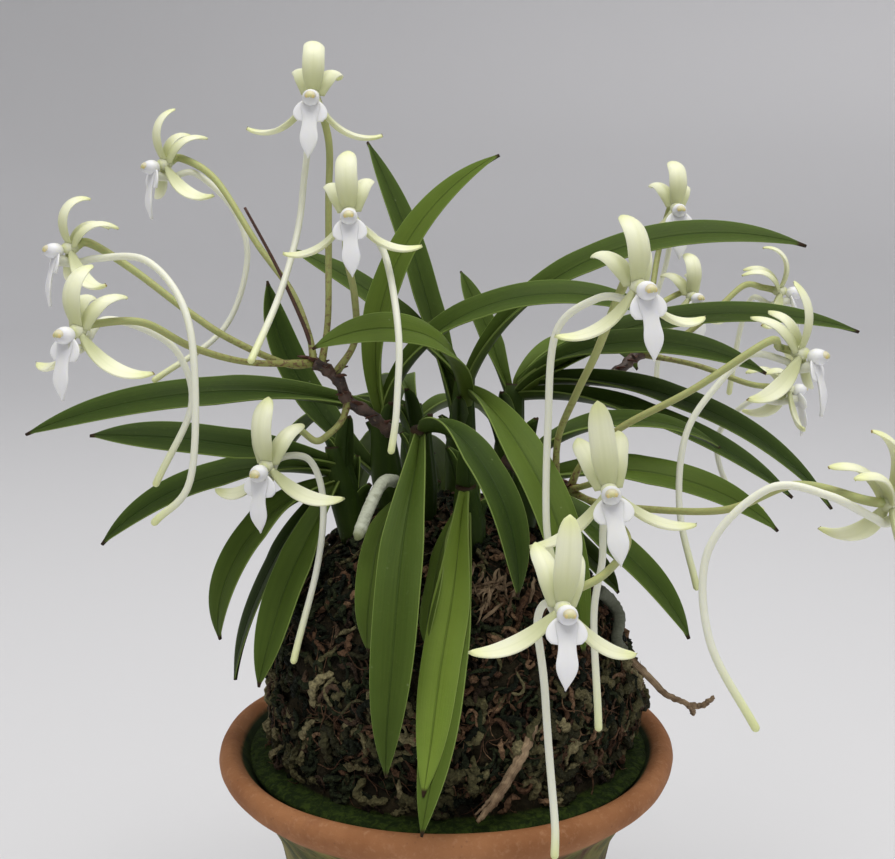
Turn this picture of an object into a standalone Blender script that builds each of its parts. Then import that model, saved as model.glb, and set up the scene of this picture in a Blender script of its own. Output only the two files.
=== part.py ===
"""Wind orchid (Vanda falcata) growing on a moss mound in a small clay pot.

Working numbers are millimetres and degrees; heights of the plant are counted from the pot's lip.
Heading 0 is +X and 90 is +Y. The origin is the middle of the pot's foot, with +Z up.
"""
import math

import bmesh
import bpy
import numpy as np
from mathutils import Matrix, Vector

MM = 0.001
GAP = 0.35

# Pot: (radius, height from the lip) of the turned wall, down the outside and up the inside.
POT_HEIGHT = 62.0
POT_TURNS = 26
POT_OUTSIDE = ((35.0, 0.0), (36.4, 0.7), (37.9, 0.1), (38.5, -1.6), (38.0, -3.6), (36.4, -4.8),
               (32.6, -8.0), (28.6, -15.0), (27.0, -23.0), (23.4, -61.0), (22.2, -62.0))
POT_INSIDE = ((19.6, -57.5), (23.4, -25.0), (25.2, -15.0), (28.8, -8.5), (33.6, -2.2))
DRAIN_RADIUS = 2.6
DRAIN_RING = 11.0
DRAIN_COUNT = 3

# Moss mound: (radius, height from the lip) above the pot; below it the moss follows the wall.
MOUND_PROFILE = ((33.5, -1.3), (32.7, -0.8), (29.8, -0.4), (30.3, 4.0), (30.8, 9.0), (30.1, 14.0),
                 (28.2, 20.0), (25.4, 26.0), (21.0, 32.0), (15.2, 37.0), (8.2, 40.4), (0.0, 41.6))
MOUND_TURNS = 24
MOUND_LEAN = 1.6
MOUND_SCOOP = 1.8
MOUND_RELIEF = 0.8
STEM_HOLE_RADIUS = 3.7
TWIG_HOLE_RADIUS = 1.4
HOLE_DEPTH = 1.2
STEM_REACH = 30.0
TWIG_REACH = 16.0

LEAF_THICKNESS = 0.7
LEAF_STATIONS = 7
TEPAL_THICKNESS = 0.6
STEM_RADIUS = 2.7
LEAF_SET = 1.3
PEDICEL_RADIUS = 0.55
AXIS_RADIUS = 0.8
SPUR_RADIUS = 0.62
FLATTENINGS = ((4.0, "BEAUTY"), (4.0, "EAR_CLIP"), (2.0, "BEAUTY"), (2.0, "EAR_CLIP"),
               (0.5, "BEAUTY"), (0.5, "EAR_CLIP"), (0.05, "BEAUTY"), (0.05, "EAR_CLIP"))
WELD = 1e-6
HUB_REACH = 3.2
FACING = {"strap": -1.0, "lobe": 1.0}
SCRAP_FACES = 12

# Growths: foot and top of each short leafy stem.
GROWTHS = {
    "a": ((-9, 3, 36), (-11, 4, 55)),
    "b": ((2, 8, 36), (3, 10, 60)),
    "c": ((-4, -5, 36), (-4, -9, 55)),
    "d": ((10, 13, 36), (12, 16, 58)),
    "e": ((-15, -3, 35), (-18, -3, 51)),
    "f": ((12, -3, 35), (13, -6, 50)),
    "g": ((4, -12, 35), (3, -14, 47)),
    "h": ((-5, 16, 36), (-6, 19, 54)),
}

# Leaves: place up the stem (0 foot, 1 top), heading, rise at the root, droop by the tip,
# sideways sway, length, lateness of the droop, width and roll.
LEAVES = {
    "a": ((1.0, 186, 23, 44, -5, 58, 0.7, 7.0, -35),
          (0.93, 23, 110, 81, -30, 51, 0.9, 7.0, 35),
          (1.0, 349, 85, 110, 4, 55, 0.7, 7.0, 30),
          (0.4, 161, 38, -46, -13, 40, 1.4, 7.0, -18)),
    "b": ((0.6, 135, 75, 20, 0, 54, 1.2, 6.5, 0),
          (1.0, 155, 45, 25, 5, 38, 1.2, 6.5, -20),
          (0.8, 271, 49, 76.5, -78, 43, 1.6, 6.5, -45),
          (0.9, 290, 0, 80, 10, 57, 1.1, 7.5, 0),
          (1.0, 350, 70, 85, 5, 64, 0.8, 7.0, 35)),
    "c": ((0.4, 246, 2, 99, 17, 33, 1.4, 6.0, 25),
          (0.9, 266, -18, 71, -13, 55, 0.9, 7.0, 0),
          (1.0, 300, 20, 110, 5, 38, 0.9, 7.2, -10)),
    "d": ((0.9, 140, 67, 11, -5, 24, 1.2, 5.0, -10),
          (1.0, 350, 42, 58, 10, 60, 0.8, 7.0, 25),
          (0.95, 330, 54, 80, 25, 45, 0.7, 7.0, 30),
          (1.0, 350, 9, 60, 5, 60, 1.0, 7.0, 25),
          (0.9, 340, 11, 47, 0, 50, 0.7, 7.0, 15),
          (1.0, 40, 55, 100, 0, 34, 0.8, 6.5, 0),
          (0.9, 355, 45, 30, 0, 20, 1.0, 6.0, 15)),
    "e": ((0.8, 210, 20, 15, -10, 39, 0.9, 7.0, -35),
          (0.7, 190, 15, 60, 0, 40, 1.0, 7.0, -25),
          (0.6, 210, -5, 90, 0, 34, 1.1, 7.0, -15),
          (0.6, 240, -35, 35, -5, 35, 1.0, 7.0, 0),
          (0.6, 206, -40, 40, -5, 36, 1.0, 6.0, 0)),
    "f": ((1.0, 5, 42, 75, 10, 33, 0.8, 6.5, 15),
          (0.7, 355, 15, 55, -5, 41, 1.2, 7.0, 28),
          (0.6, 320, -15, 45, 15, 35, 1.3, 7.2, 10),
          (0.5, 320, -30, 10, 0, 21, 1.1, 6.0, 0)),
    "g": ((0.7, 236, -41, 10, 30, 23.5, 1.3, 4.5, 40),
          (0.9, 260, -50, 5, -5, 46, 1.1, 6.2, 0),
          (0.6, 264, -42, 15, -13, 49, 0.9, 6.4, 10)),
    "h": ((1.0, 100, 20, 80, 0, 46, 1.0, 7.0, 0),
          (0.9, 140, 15, 80, 5, 40, 1.0, 7.0, 0),
          (0.8, 60, 20, 85, -5, 46, 1.0, 7.0, 0),
          (0.7, 115, 0, 75, 0, 38, 1.1, 6.5, 0),
          (0.6, 80, -5, 70, 0, 38, 1.1, 6.5, 0)),
}

# Racemes: the route of the axis, then of each flower stalk, from the axis to behind its bloom.
RACEMES = {
    "left": {
        "axis": ((-9, -8, 54), (-11, -11, 57), (-15, -12, 60), (-17, -13, 64), (-20, -14, 66)),
        "01": ((-19, -14, 65), (-18, -12, 72), (-18, -9, 80), (-18, -7, 90), (-18, -5, 99)),
        "02": ((-17, -13, 64), (-14, -10.5, 69), (-14, -10.5, 76), (-15, -13, 83)),
        "03": ((-20, -14, 66), (-21, -11, 70), (-24, -6, 76), (-30, 0, 83), (-38, 10, 93)),
        "04": ((-20, -14, 66), (-24, -15, 66), (-32, -17, 70), (-38, -17, 74), (-46, -16, 80)),
        "05": ((-20, -14, 66), (-29, -20, 67), (-36, -26, 70), (-42, -30, 74)),
        "06": ((-15, -12, 60), (-16, -13, 57), (-18, -14, 55), (-20, -14, 54), (-23, -15, 56)),
    },
    "right": {
        "axis": ((9, -9, 50), (13, -11, 48), (17, -12, 47), (19, -13, 46)),
        "07": ((17, -12, 47), (17, -16, 55), (19, -23, 63), (21, -30, 70)),
        "08": ((19, -13, 46), (21, -22, 49), (21, -33, 52)),
        "09": ((19, -13, 46), (23, -20, 45), (26, -30, 43), (21, -44, 42)),
        "10": ((19, -13, 46), (21, -15, 51), (26, -19, 57), (36, -21, 63), (47, -20, 70)),
        "11": ((19, -13, 46), (22, -20, 46), (27, -28, 47), (38, -37, 49), (46, -43, 54)),
    },
    "back": {
        "axis": ((20, 18, 56), (25, 20, 58), (30, 22, 59), (33, 24, 61), (35, 25, 62)),
        "12": ((35, 25, 62), (37, 30, 68), (39, 37, 76), (41, 42, 83)),
        "13": ((35, 25, 62), (41, 22, 65), (48, 24, 70), (54, 29, 74)),
        "14": ((33, 24, 61), (35, 27, 64), (38, 33, 69)),
        "15": ((35, 25, 62), (45, 25, 60), (54, 23, 57)),
    },
}
WITHERED_STALK = ((-20, -13, 67), (-22, -11, 72), (-26, -8, 80), (-31, -6, 89))

# Blooms: middle, heading it faces, pitch, roll, how far its tepals curl back, size, and how far
# its lower sepals turn; then the route of the spur behind the flower, down to its tip.
BLOOMS = {
    "01": ((-20, -10, 105), 270, 0, -3, 1.1, 0.98, 12,
           ((-21, -4, 102), (-22, -2, 94), (-23, -5, 86), (-25, -14, 76), (-28, -25, 68))),
    "02": ((-14, -19, 88), 272, 0, 3, 0.85, 0.96, 22,
           ((-12, -14, 86), (-9, -13, 82), (-7, -21, 71), (-7, -24, 62), (-8, -26, 55))),
    "03": ((-48, 13, 95), 215, -5, 0, 0.85, 0.95, 25,
           ((-42, 14, 94), (-36, 15, 88), (-34, 15, 79), (-38, 13, 68), (-49, 8, 60))),
    "04": ((-56, -18, 83), 210, 0, 0, 1.1, 0.9, 18,
           ((-51, -17.5, 82), (-43, -22, 82), (-37, -27, 76), (-35, -30, 67), (-36, -32, 52), (-41, -32, 46))),
    "05": ((-50, -37, 73), 243, 0, 0, 0.9, 0.96, 28,
           ((-48, -27, 74), (-43, -23, 72), (-39, -20, 68), (-38, -19, 60), (-43, -21, 49))),
    "06": ((-27, -22, 51), 250, -8, 0, 0.75, 1.0, 35,
           ((-25, -17, 52), (-21, -14, 51), (-19, -14, 45), (-20, -17, 34), (-23, -23, 22))),
    "07": ((25.2, -43, 79.5), 288, 0, 5, 0.9, 1.0, 25,
           ((24, -40, 78), (20, -37, 78), (15, -34, 73), (14, -33, 60), (14, -35, 47), (15, -36, 40))),
    "08": ((22, -41, 52), 268, 8, 8, 0.15, 1.05, 30,
           ((22, -35, 48), (22, -33, 41), (21, -34, 33), (21, -41, 19))),
    "09": ((14.8, -56, 40.5), 278, 8, -4, 0.1, 1.02, 45,
           ((13, -50, 40), (12, -48, 36), (13, -49, 27), (14, -53, 14), (14, -56, 8))),
    "10": ((54.5, -15, 67), 325, 0, 0, 0.5, 1.0, 45,
           ((51, -13.3, 66.4), (46.5, -12, 67), (42, -12, 63), (37, -13, 55), (36, -14, 43), (39, -15, 31))),
    "11": ((57, -51, 53), 15, 0, 0, 0.8, 1.0, 55,
           ((53, -54, 52.5), (47, -55, 55.5), (40, -53.5, 56), (33, -53, 48), (33, -55, 37), (39, -57, 26))),
    "12": ((43, 38, 87), 275, 0, 0, 1.0, 1.0, 15,
           ((43, 44, 84), (43, 48, 77), (41, 48, 70), (39, 43, 60))),
    "13": ((63, 34, 72), 350, 0, 0, 1.0, 0.95, 40,
           ((60, 35, 70), (58, 38, 71), (57, 42, 67), (55, 43, 52))),
    "14": ((46, 34, 71), 290, 0, 0, 1.0, 0.9, 20,
           ((44, 38, 68), (43, 41, 65), (41, 42, 59), (40, 38, 52))),
    "15": ((63, 26, 55), 20, 0, 0, 1.0, 0.95, 50,
           ((60, 26, 53), (55, 26, 53), (50, 28, 46), (53, 29, 36), (59, 29, 32))),
}

# Aerial roots: one stands out in front; the rest run down the moss from a heading to a heading.
FREE_ROOT = ((-8, -9, 46.5), (-9, -15, 48), (-10, -19, 48), (-11.5, -23.5, 45.5), (-13, -27, 42))
ROOT_RADIUS = 1.05
ROOT_CLEARANCE = 1.3
MOSS_ROOTS = {"root_right": (337, 344, 29, 19), "root_left": (172, 160, 31, 12), "root_back": (80, 60, 33, 6)}
TWIG = ((27.5, -8.5, 19), (31.3, -9, 15.5), (35.8, -9, 10.9), (39.6, -9, 9), (40.5, -8, 7))
TWIG_FORK = ((39.6, -9, 9), (41.5, -10.5, 9.6), (43.2, -11, 11.2))


def clear_scene():
    for obj in list(bpy.data.objects):
        bpy.data.objects.remove(obj, do_unlink=True)


def make_material(name, colour, roughness):
    material = bpy.data.materials.new(name)
    material.use_nodes = True
    shader = material.node_tree.nodes["Principled BSDF"]
    shader.inputs["Base Color"].default_value = (*colour, 1.0)
    shader.inputs["Roughness"].default_value = roughness
    shader.inputs["Metallic"].default_value = 0.0
    return material


def make_collection(name, hidden=False):
    collection = bpy.data.collections.new(name)
    collection.hide_render = hidden
    bpy.context.scene.collection.children.link(collection)
    return collection


def new_object(name, mesh, collection, material=None):
    obj = bpy.data.objects.new(name, mesh)
    if material:
        mesh.materials.clear()
        mesh.materials.append(material)
    collection.objects.link(obj)
    return obj


def metres(point):
    """A point in millimetres from the lip, as metres from the foot."""
    return Vector((point[0], point[1], point[2] + POT_HEIGHT)) * MM


def freeze(obj, weld=0.0):
    """Replaces the object's data by the mesh that its modifiers or its bevel make."""
    graph = bpy.context.evaluated_depsgraph_get()
    mesh = bpy.data.meshes.new_from_object(obj.evaluated_get(graph))
    if weld:
        shape = bmesh.new()
        shape.from_mesh(mesh)
        bmesh.ops.remove_doubles(shape, verts=shape.verts, dist=weld)
        bmesh.ops.recalc_face_normals(shape, faces=shape.faces)
        shape.to_mesh(mesh)
        shape.free()
    frozen = bpy.data.objects.new(obj.name + "_mesh", mesh)
    frozen.matrix_world = obj.matrix_world
    for collection in obj.users_collection:
        collection.objects.link(frozen)
    name = obj.name
    bpy.data.objects.remove(obj, do_unlink=True)
    frozen.name = name
    return frozen


def arc(start, heading, rise, droop, sway, length, late, stations):
    """Points, directions and left-hand sides along a blade that bends down as it goes out."""
    steps = 40
    way = (np.arange(steps) + 0.5) / steps
    up = np.radians(rise - droop * way**late)
    round_ = np.radians(heading + sway * way)
    ahead = np.stack([np.cos(up) * np.cos(round_), np.cos(up) * np.sin(round_), np.sin(up)], axis=1)
    path = np.vstack([start, start + np.cumsum(ahead, axis=0) * length / steps])
    places = np.linspace(0.0, 1.0, stations)
    points = np.stack([np.interp(places, np.linspace(0, 1, steps + 1), path[:, k]) for k in range(3)], 1)
    ups = np.radians(rise - droop * places**late)
    rounds = np.radians(heading + sway * places)
    directions = np.stack([np.cos(ups) * np.cos(rounds), np.cos(ups) * np.sin(rounds), np.sin(ups)], 1)
    sides = np.stack([-np.sin(rounds), np.cos(rounds), 0 * rounds], axis=1)
    return points, directions, sides


def smooth_route(points, pieces):
    """A Catmull-Rom curve through the points, with the given number of pieces in each span."""
    knots = [np.array(point, float) for point in points]
    knots = [2 * knots[0] - knots[1]] + knots + [2 * knots[-1] - knots[-2]]
    route = []
    for before, left, right, after in zip(knots, knots[1:], knots[2:], knots[3:]):
        for step in range(pieces):
            t = step / pieces
            route.append(0.5 * (2 * left + (right - before) * t
                                + (2 * before - 5 * left + 4 * right - after) * t**2
                                + (3 * left - before - 3 * right + after) * t**3))
    route.append(knots[-2])
    return route


def strap(name, points, directions, sides, widths, folds, roll, thickness, collection):
    """A blade as an open strip along its midrib, folded up at both sides, given its thickness."""
    shape = bmesh.new()
    rows = []
    for point, ahead, side, width, fold in zip(points, directions, sides, widths, folds):
        normal = np.cross(ahead, side)
        turn = math.radians(roll)
        left = side * math.cos(turn) + normal * math.sin(turn)
        lift = np.cross(ahead, left)
        reach = left * math.cos(fold) * width / 2
        raised = lift * math.sin(fold) * width / 2
        row = [point - reach + raised, point, point + reach + raised]
        if fold == 0.0:
            row = [row[0], row[2]]
        rows.append([shape.verts.new(metres(corner)) for corner in row])
    for near, far in zip(rows, rows[1:]):
        for k in range(len(near) - 1):
            shape.faces.new((near[k], far[k], far[k + 1], near[k + 1]))
    bmesh.ops.triangulate(shape, faces=shape.faces)
    mesh = bpy.data.meshes.new(name)
    shape.to_mesh(mesh)
    shape.free()
    obj = new_object(name, mesh, collection)
    solid = obj.modifiers.new("thickness", "SOLIDIFY")
    solid.thickness = thickness * MM
    solid.offset = 0.0
    return freeze(obj)


def rod(name, route, radii, sides_level, collection):
    """A round stalk along a route, with filled ends, as a mesh."""
    curve = bpy.data.curves.new(name, "CURVE")
    curve.dimensions = "3D"
    curve.bevel_depth = MM
    curve.bevel_resolution = sides_level
    curve.use_fill_caps = True
    spline = curve.splines.new("POLY")
    spline.points.add(len(route) - 1)
    for k, point in enumerate(route):
        spline.points[k].co = (*metres(point), 1.0)
        place = k / (len(route) - 1)
        spline.points[k].radius = float(np.interp(place, np.linspace(0, 1, len(radii)), radii))
    obj = bpy.data.objects.new(name, curve)
    collection.objects.link(obj)
    return freeze(obj, weld=1e-6)


def bore(body, name, ends, radius, sides_level, cutters):
    """Cuts a round hole through the body between two ends."""
    hole = rod(f"{name}_cutter", ends, (radius, radius), sides_level, cutters)
    hole.hide_render = True
    hole.display_type = "WIRE"
    cut = body.modifiers.new(name, "BOOLEAN")
    cut.operation = "DIFFERENCE"
    cut.object = hole
    cut.solver = "EXACT"


def ball(name, centre, axes, turn, collection, segments=6, rings=4):
    """An egg-shaped body with the given half-sizes."""
    shape = bmesh.new()
    bmesh.ops.create_uvsphere(shape, u_segments=segments, v_segments=rings, radius=1.0)
    bmesh.ops.triangulate(shape, faces=shape.faces)
    mesh = bpy.data.meshes.new(name)
    shape.to_mesh(mesh)
    shape.free()
    mesh.transform(Matrix.Diagonal((*[axis * MM for axis in axes], 1.0)))
    mesh.transform(turn.to_4x4())
    mesh.transform(Matrix.Translation(metres(centre)))
    return new_object(name, mesh, collection)


def drop_scraps(shape):
    """Deletes loose bits of a few faces."""
    left = set(shape.verts)
    while left:
        found, queue = set(), [left.pop()]
        while queue:
            vertex = queue.pop()
            found.add(vertex)
            near = {edge.other_vert(vertex) for edge in vertex.link_edges} & left
            left -= near
            queue.extend(near)
        if len({face for vertex in found for face in vertex.link_faces}) < SCRAP_FACES:
            bmesh.ops.delete(shape, geom=list(found), context="VERTS")


def tidy(mesh):
    """Takes out the cuts that a union leaves across flat faces, as far as the mesh stays sound."""
    for angle, method in FLATTENINGS:
        shape = bmesh.new()
        shape.from_mesh(mesh)
        limit = math.radians(angle)
        bmesh.ops.dissolve_limit(shape, angle_limit=limit, verts=shape.verts, edges=shape.edges)
        bmesh.ops.triangulate(shape, faces=shape.faces, quad_method="BEAUTY", ngon_method=method)
        bmesh.ops.dissolve_degenerate(shape, edges=shape.edges, dist=WELD)
        drop_scraps(shape)
        trial = shape.copy()
        bmesh.ops.remove_doubles(trial, verts=trial.verts, dist=WELD)
        sound = all(edge.is_manifold for edge in trial.edges)
        trial.free()
        if sound:
            shape.to_mesh(mesh)
        shape.free()
        if sound:
            return


def join(base, extras, home, material):
    """One union of the base and all that grows from it, applied."""
    if extras.objects:
        union = base.modifiers.new("union", "BOOLEAN")
        union.operation = "UNION"
        union.operand_type = "COLLECTION"
        union.collection = extras
        union.solver = "MANIFOLD"
        base = freeze(base)
        tidy(base.data)
    for obj in list(extras.objects):
        bpy.data.objects.remove(obj, do_unlink=True)
    bpy.data.collections.remove(extras)
    base.data.materials.clear()
    base.data.materials.append(material)
    base.data.shade_smooth()
    base.data.set_sharp_from_angle(angle=math.radians(50))
    if base.name not in home.objects:
        home.objects.link(base)
    return base


def turned(name, profile, steps, collection):
    """A profile from the axis round to the axis again, turned about Z."""
    mesh = bpy.data.meshes.new(name)
    rings = [(radius * MM, 0.0, (height + POT_HEIGHT) * MM) for radius, height in profile]
    mesh.from_pydata(rings, [(k, k + 1) for k in range(len(rings) - 1)], [])
    obj = new_object(name, mesh, collection)
    screw = obj.modifiers.new("turn", "SCREW")
    screw.steps = steps
    screw.render_steps = steps
    screw.use_merge_vertices = True
    screw.merge_threshold = 0.00001
    screw.use_normal_calculate = True
    return freeze(obj, weld=1e-6)


def make_pot(home, cutters, clay):
    floor = POT_INSIDE[0][1]
    profile = (*reversed(POT_INSIDE), (0.0, floor))
    profile = ((0.0, -POT_HEIGHT), *reversed(POT_OUTSIDE), *profile)[::-1]
    pot = turned("pot", profile, POT_TURNS, home)
    for k in range(DRAIN_COUNT):
        angle = math.tau * (k + 0.5) / DRAIN_COUNT
        bpy.ops.mesh.primitive_cylinder_add(
            vertices=12, radius=DRAIN_RADIUS * MM, depth=20 * MM,
            location=(DRAIN_RING * MM * math.cos(angle), DRAIN_RING * MM * math.sin(angle), 0.0))
        drill = bpy.context.object
        drill.name = f"drain_cutter_{k + 1}"
        drill.hide_render = True
        drill.display_type = "WIRE"
        for collection in drill.users_collection:
            collection.objects.unlink(drill)
        cutters.objects.link(drill)
        cut = pot.modifiers.new(f"drain_{k + 1}", "BOOLEAN")
        cut.operation = "DIFFERENCE"
        cut.object = drill
        cut.solver = "EXACT"
    pot.data.materials.append(clay)
    pot.data.shade_smooth()
    pot.data.set_sharp_from_angle(angle=math.radians(40))
    return pot


def split_quads(mesh):
    shape = bmesh.new()
    shape.from_mesh(mesh)
    bmesh.ops.triangulate(shape, faces=shape.faces)
    shape.to_mesh(mesh)
    shape.free()


def mound_radius(height):
    heights = [row[1] for row in MOUND_PROFILE]
    return float(np.interp(height, heights, [row[0] for row in MOUND_PROFILE]))


def moss_relief(angle, height):
    """How far the moss stands out at a place, from a few crossed waves."""
    waves = (0.6 * math.sin(5 * angle + 0.35 * height) + 0.4 * math.sin(9 * angle - 0.5 * height)
             + 0.5 * math.sin(3 * angle + 0.9 * height))
    scoop = max(0.0, -math.sin(angle)) * min(1.0, max(0.0, 1.0 - height / 16.0))
    return MOUND_RELIEF * waves - MOUND_SCOOP * scoop


def mound_lean(height):
    return MOUND_LEAN * math.exp(-((height - 9.0) / 8.0) ** 2)


def make_mound(home, cutters, moss):
    inside = [(radius - GAP - 0.15, height + (GAP if k == 0 else 0.0))
              for k, (radius, height) in enumerate(POT_INSIDE)]
    profile = [(0.0, inside[0][1]), *inside, *MOUND_PROFILE]
    mound = turned("moss_mound", profile[::-1], MOUND_TURNS, home)
    for vertex in mound.data.vertices:
        x, y = vertex.co.x / MM, vertex.co.y / MM
        height = vertex.co.z / MM - POT_HEIGHT
        if height < 1.0:
            continue
        radius, angle = math.hypot(x, y), math.atan2(y, x)
        fade = min(1.0, radius / 6.0) * min(1.0, (height - 1.0) / 3.0)
        out = radius + moss_relief(angle, height) * fade
        vertex.co.x = (out * math.cos(angle) + mound_lean(height)) * MM
        vertex.co.y = out * math.sin(angle) * MM
    split_quads(mound.data)
    for name, (foot, top) in GROWTHS.items():
        low = np.array(foot, float)
        rise = (np.array(top, float) - low) / (top[2] - foot[2])
        ends = [low - rise * HOLE_DEPTH, low + rise * STEM_REACH]
        bore(mound, f"stem_hole_{name}", ends, STEM_HOLE_RADIUS, 3, cutters)
    inner, outer = (np.array(end, float) for end in TWIG[:2])
    reach = (outer - inner) / np.linalg.norm(outer - inner)
    ends = [inner - reach * HOLE_DEPTH, inner + reach * TWIG_REACH]
    bore(mound, "twig_hole", ends, TWIG_HOLE_RADIUS, 2, cutters)
    mound.data.materials.append(moss)
    mound.data.shade_smooth()
    return mound


def leaf_width(place, width):
    """A strap leaf: narrow at the root, even along the middle, then drawn in to a point."""
    root = min(1.0, 0.5 + 1.3 * place)
    tip = 1.0 - max(0.0, (place - 0.5) / 0.5) ** 3.2
    return width * root * max(0.12, tip)


def leaf_fold(place):
    """How steeply the two halves of a leaf stand up from its midrib, in radians."""
    return math.radians(62 - 44 * min(1.0, place / 0.45))


def make_growth(name, home, leaf_green):
    foot, top = (np.array(end, float) for end in GROWTHS[name])
    extras = make_collection(f"leaves_of_{name}")
    radii = (0.8 * STEM_RADIUS, STEM_RADIUS, 0.7 * STEM_RADIUS)
    stem = rod(f"growth_{name}", [foot, (foot + top) / 2, top], radii, 1, home)
    for k, (lift, heading, rise, droop, sway, length, late, width, roll) in enumerate(LEAVES[name]):
        angle = math.radians(heading)
        start = foot + (top - foot) * lift + LEAF_SET * np.array([math.cos(angle), math.sin(angle), 0.0])
        points, directions, sides = arc(start, heading, rise, droop, sway, length, late, LEAF_STATIONS)
        places = np.linspace(0.0, 1.0, LEAF_STATIONS)
        strap(f"leaf_{name}{k}", points, directions, sides, [leaf_width(s, width) for s in places],
              [leaf_fold(s) for s in places], roll, LEAF_THICKNESS, extras)
    return join(stem, extras, home, leaf_green)


def bloom_frame(name):
    """The middle of a bloom and its own axes: ahead, left and up, as columns."""
    centre, heading, pitch, roll = BLOOMS[name][:4]
    turn = (Matrix.Rotation(math.radians(heading), 3, "Z") @ Matrix.Rotation(math.radians(-pitch), 3, "Y")
            @ Matrix.Rotation(math.radians(roll), 3, "X"))
    return np.array(centre, float), turn, BLOOMS[name][5]


def placed(centre, turn, size, vectors):
    matrix = np.array(turn)
    return np.asarray(vectors) @ matrix.T * size + centre


def outline(kind, place):
    """Width of a petal along its length, as a share of the widest."""
    if kind == "strap":
        return (0.5 + 0.5 * math.sin(min(1.0, place / 0.4) * math.pi / 2)) * (1.0 if place < 0.99 else 0.4)
    if kind == "pod":
        return max(0.22, math.sin(math.pi * (0.09 + 0.85 * place)) ** 0.9)
    if kind == "tongue":
        return max(0.2, 1.0 - (max(0.0, place - 0.55) / 0.45) ** 2.0) * (0.88 + 0.12 * math.cos(9.0 * place))
    return min(1.0, 0.7 + 0.6 * place) * (1.0 if place < 0.99 else 0.5)


def petal(name, frame, kind, start, heading, rise, droop, sway, length, late, width, roll, stations, extras):
    """A petal, sepal or lobe, laid out in the bloom's own axes and then placed. Some kinds face forward."""
    centre, turn, size = frame
    start = np.array(start, float)
    points, directions, sides = arc(start, heading, rise, droop, sway, length, late, stations)
    if kind in FACING:
        sides = FACING[kind] * ((0.0, 1.0, 0.0) - directions * directions[:, 1:2])
        sides /= np.linalg.norm(sides, axis=1, keepdims=True)
    matrix = np.array(turn)
    widths = [size * width * outline(kind, place) for place in np.linspace(0.0, 1.0, stations)]
    return strap(name, placed(centre, turn, size, points), directions @ matrix.T, sides @ matrix.T, widths,
                 [0.0] * stations, roll, TEPAL_THICKNESS, extras)


def make_tepals(name, home, cream):
    frame = bloom_frame(name)
    centre, turn, size = frame
    curl = BLOOMS[name][4]
    extras = make_collection(f"tepals_of_{name}")
    hub = (-1.3, 0.0, 0.6)
    knob = ball(f"bloom_{name}_tepals", placed(centre, turn, size, hub), (1.1 * size,) * 3, turn, home, 5, 4)
    petal("dorsal", frame, "strap", (-1.2, 0, 1.2), 180, 110 + 12 * curl, 30 + 110 * curl, 0, 11.3, 1.4, 3.4,
          0.0, 6, extras)
    for side in (-1, 1):
        petal(f"petal_{side}", frame, "strap", (-1.6, side * 1.0, 0.8), side * 152, 84, 66 + 54 * curl, side * 20,
              9.6, 1.0, 3.0, 0.0, 5, extras)
        petal(f"lateral_{side}", frame, "pod", (-1.4, side * 0.8, 0.1), side * 104, -53 - 10 * min(1.0, curl),
              -56 - 30 * curl, side * 6, 12.6, 1.3, 2.6, side * BLOOMS[name][6], 5, extras)
    return join(knob, extras, home, cream)


def make_lip(name, home, white):
    frame = bloom_frame(name)
    centre, turn, size = frame
    extras = make_collection(f"lip_of_{name}")
    axes = (1.5 * size, 1.2 * size, 1.2 * size)
    column = ball(f"bloom_{name}_lip", placed(centre, turn, size, (1.75, 0, 0.1)), axes, turn, home, 6, 4)
    petal("midlobe", frame, "tongue", (1.0, 0, -0.7), 0, -60, 38, 0, 8.2, 1.0, 2.9, 0.0, 5, extras)
    for side in (-1, 1):
        petal(f"lobe_{side}", frame, "lobe", (1.1, side * 0.3, -0.9), side * 64, -50, 10, 0, 3.0, 1.0, 2.5,
              0.0, 3, extras)
    root = placed(centre, turn, size, (1.3, 0, -1.0))
    heel = placed(centre, turn, size, (-1.8, 0, -1.9))
    route = smooth_route([root, heel, *BLOOMS[name][-1]], 2)
    rod("spur", route, [share * SPUR_RADIUS for share in (0.85, 1.0, 1.0, 0.9, 0.75)], 0, extras)
    return join(column, extras, home, white)


def make_raceme(name, home, brown):
    routes = RACEMES[name]
    extras = make_collection(f"stalks_of_{name}")
    axis = rod(f"raceme_{name}", smooth_route(routes["axis"], 2), (AXIS_RADIUS, AXIS_RADIUS, 0.7), 1, home)
    for bloom, route in routes.items():
        if bloom == "axis":
            continue
        frame = bloom_frame(bloom)
        back = placed(*frame, (-4.6, 0, 1.2))
        end = placed(*frame, (-HUB_REACH - GAP, 0, 0.7))
        rod(f"stalk_{bloom}", smooth_route([*route, back, end], 2), (PEDICEL_RADIUS,) * 2, 0, extras)
    if name == "left":
        rod("withered", smooth_route(WITHERED_STALK, 2), (0.5, 0.45, 0.35), 0, extras)
    return join(axis, extras, home, brown)


def make_moss_root(name, home, grey):
    first, last, high, low = MOSS_ROOTS[name]
    route = []
    for k in range(10):
        place = k / 9
        height = high + (low - high) * place
        angle = math.radians(first + (last - first) * place + 5 * math.sin(5 * place))
        out = mound_radius(height) + moss_relief(angle, height) + ROOT_RADIUS + ROOT_CLEARANCE
        route.append((out * math.cos(angle) + mound_lean(height), out * math.sin(angle), height))
    root = rod(name, route, (ROOT_RADIUS, ROOT_RADIUS, 0.8 * ROOT_RADIUS), 1, home)
    root.data.materials.append(grey)
    root.data.shade_smooth()
    return root


def make_free_root(home, grey):
    radii = (ROOT_RADIUS, ROOT_RADIUS, 0.9 * ROOT_RADIUS)
    root = rod("root_front", smooth_route(FREE_ROOT, 3), radii, 2, home)
    root.data.materials.append(grey)
    root.data.shade_smooth()
    return root


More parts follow.
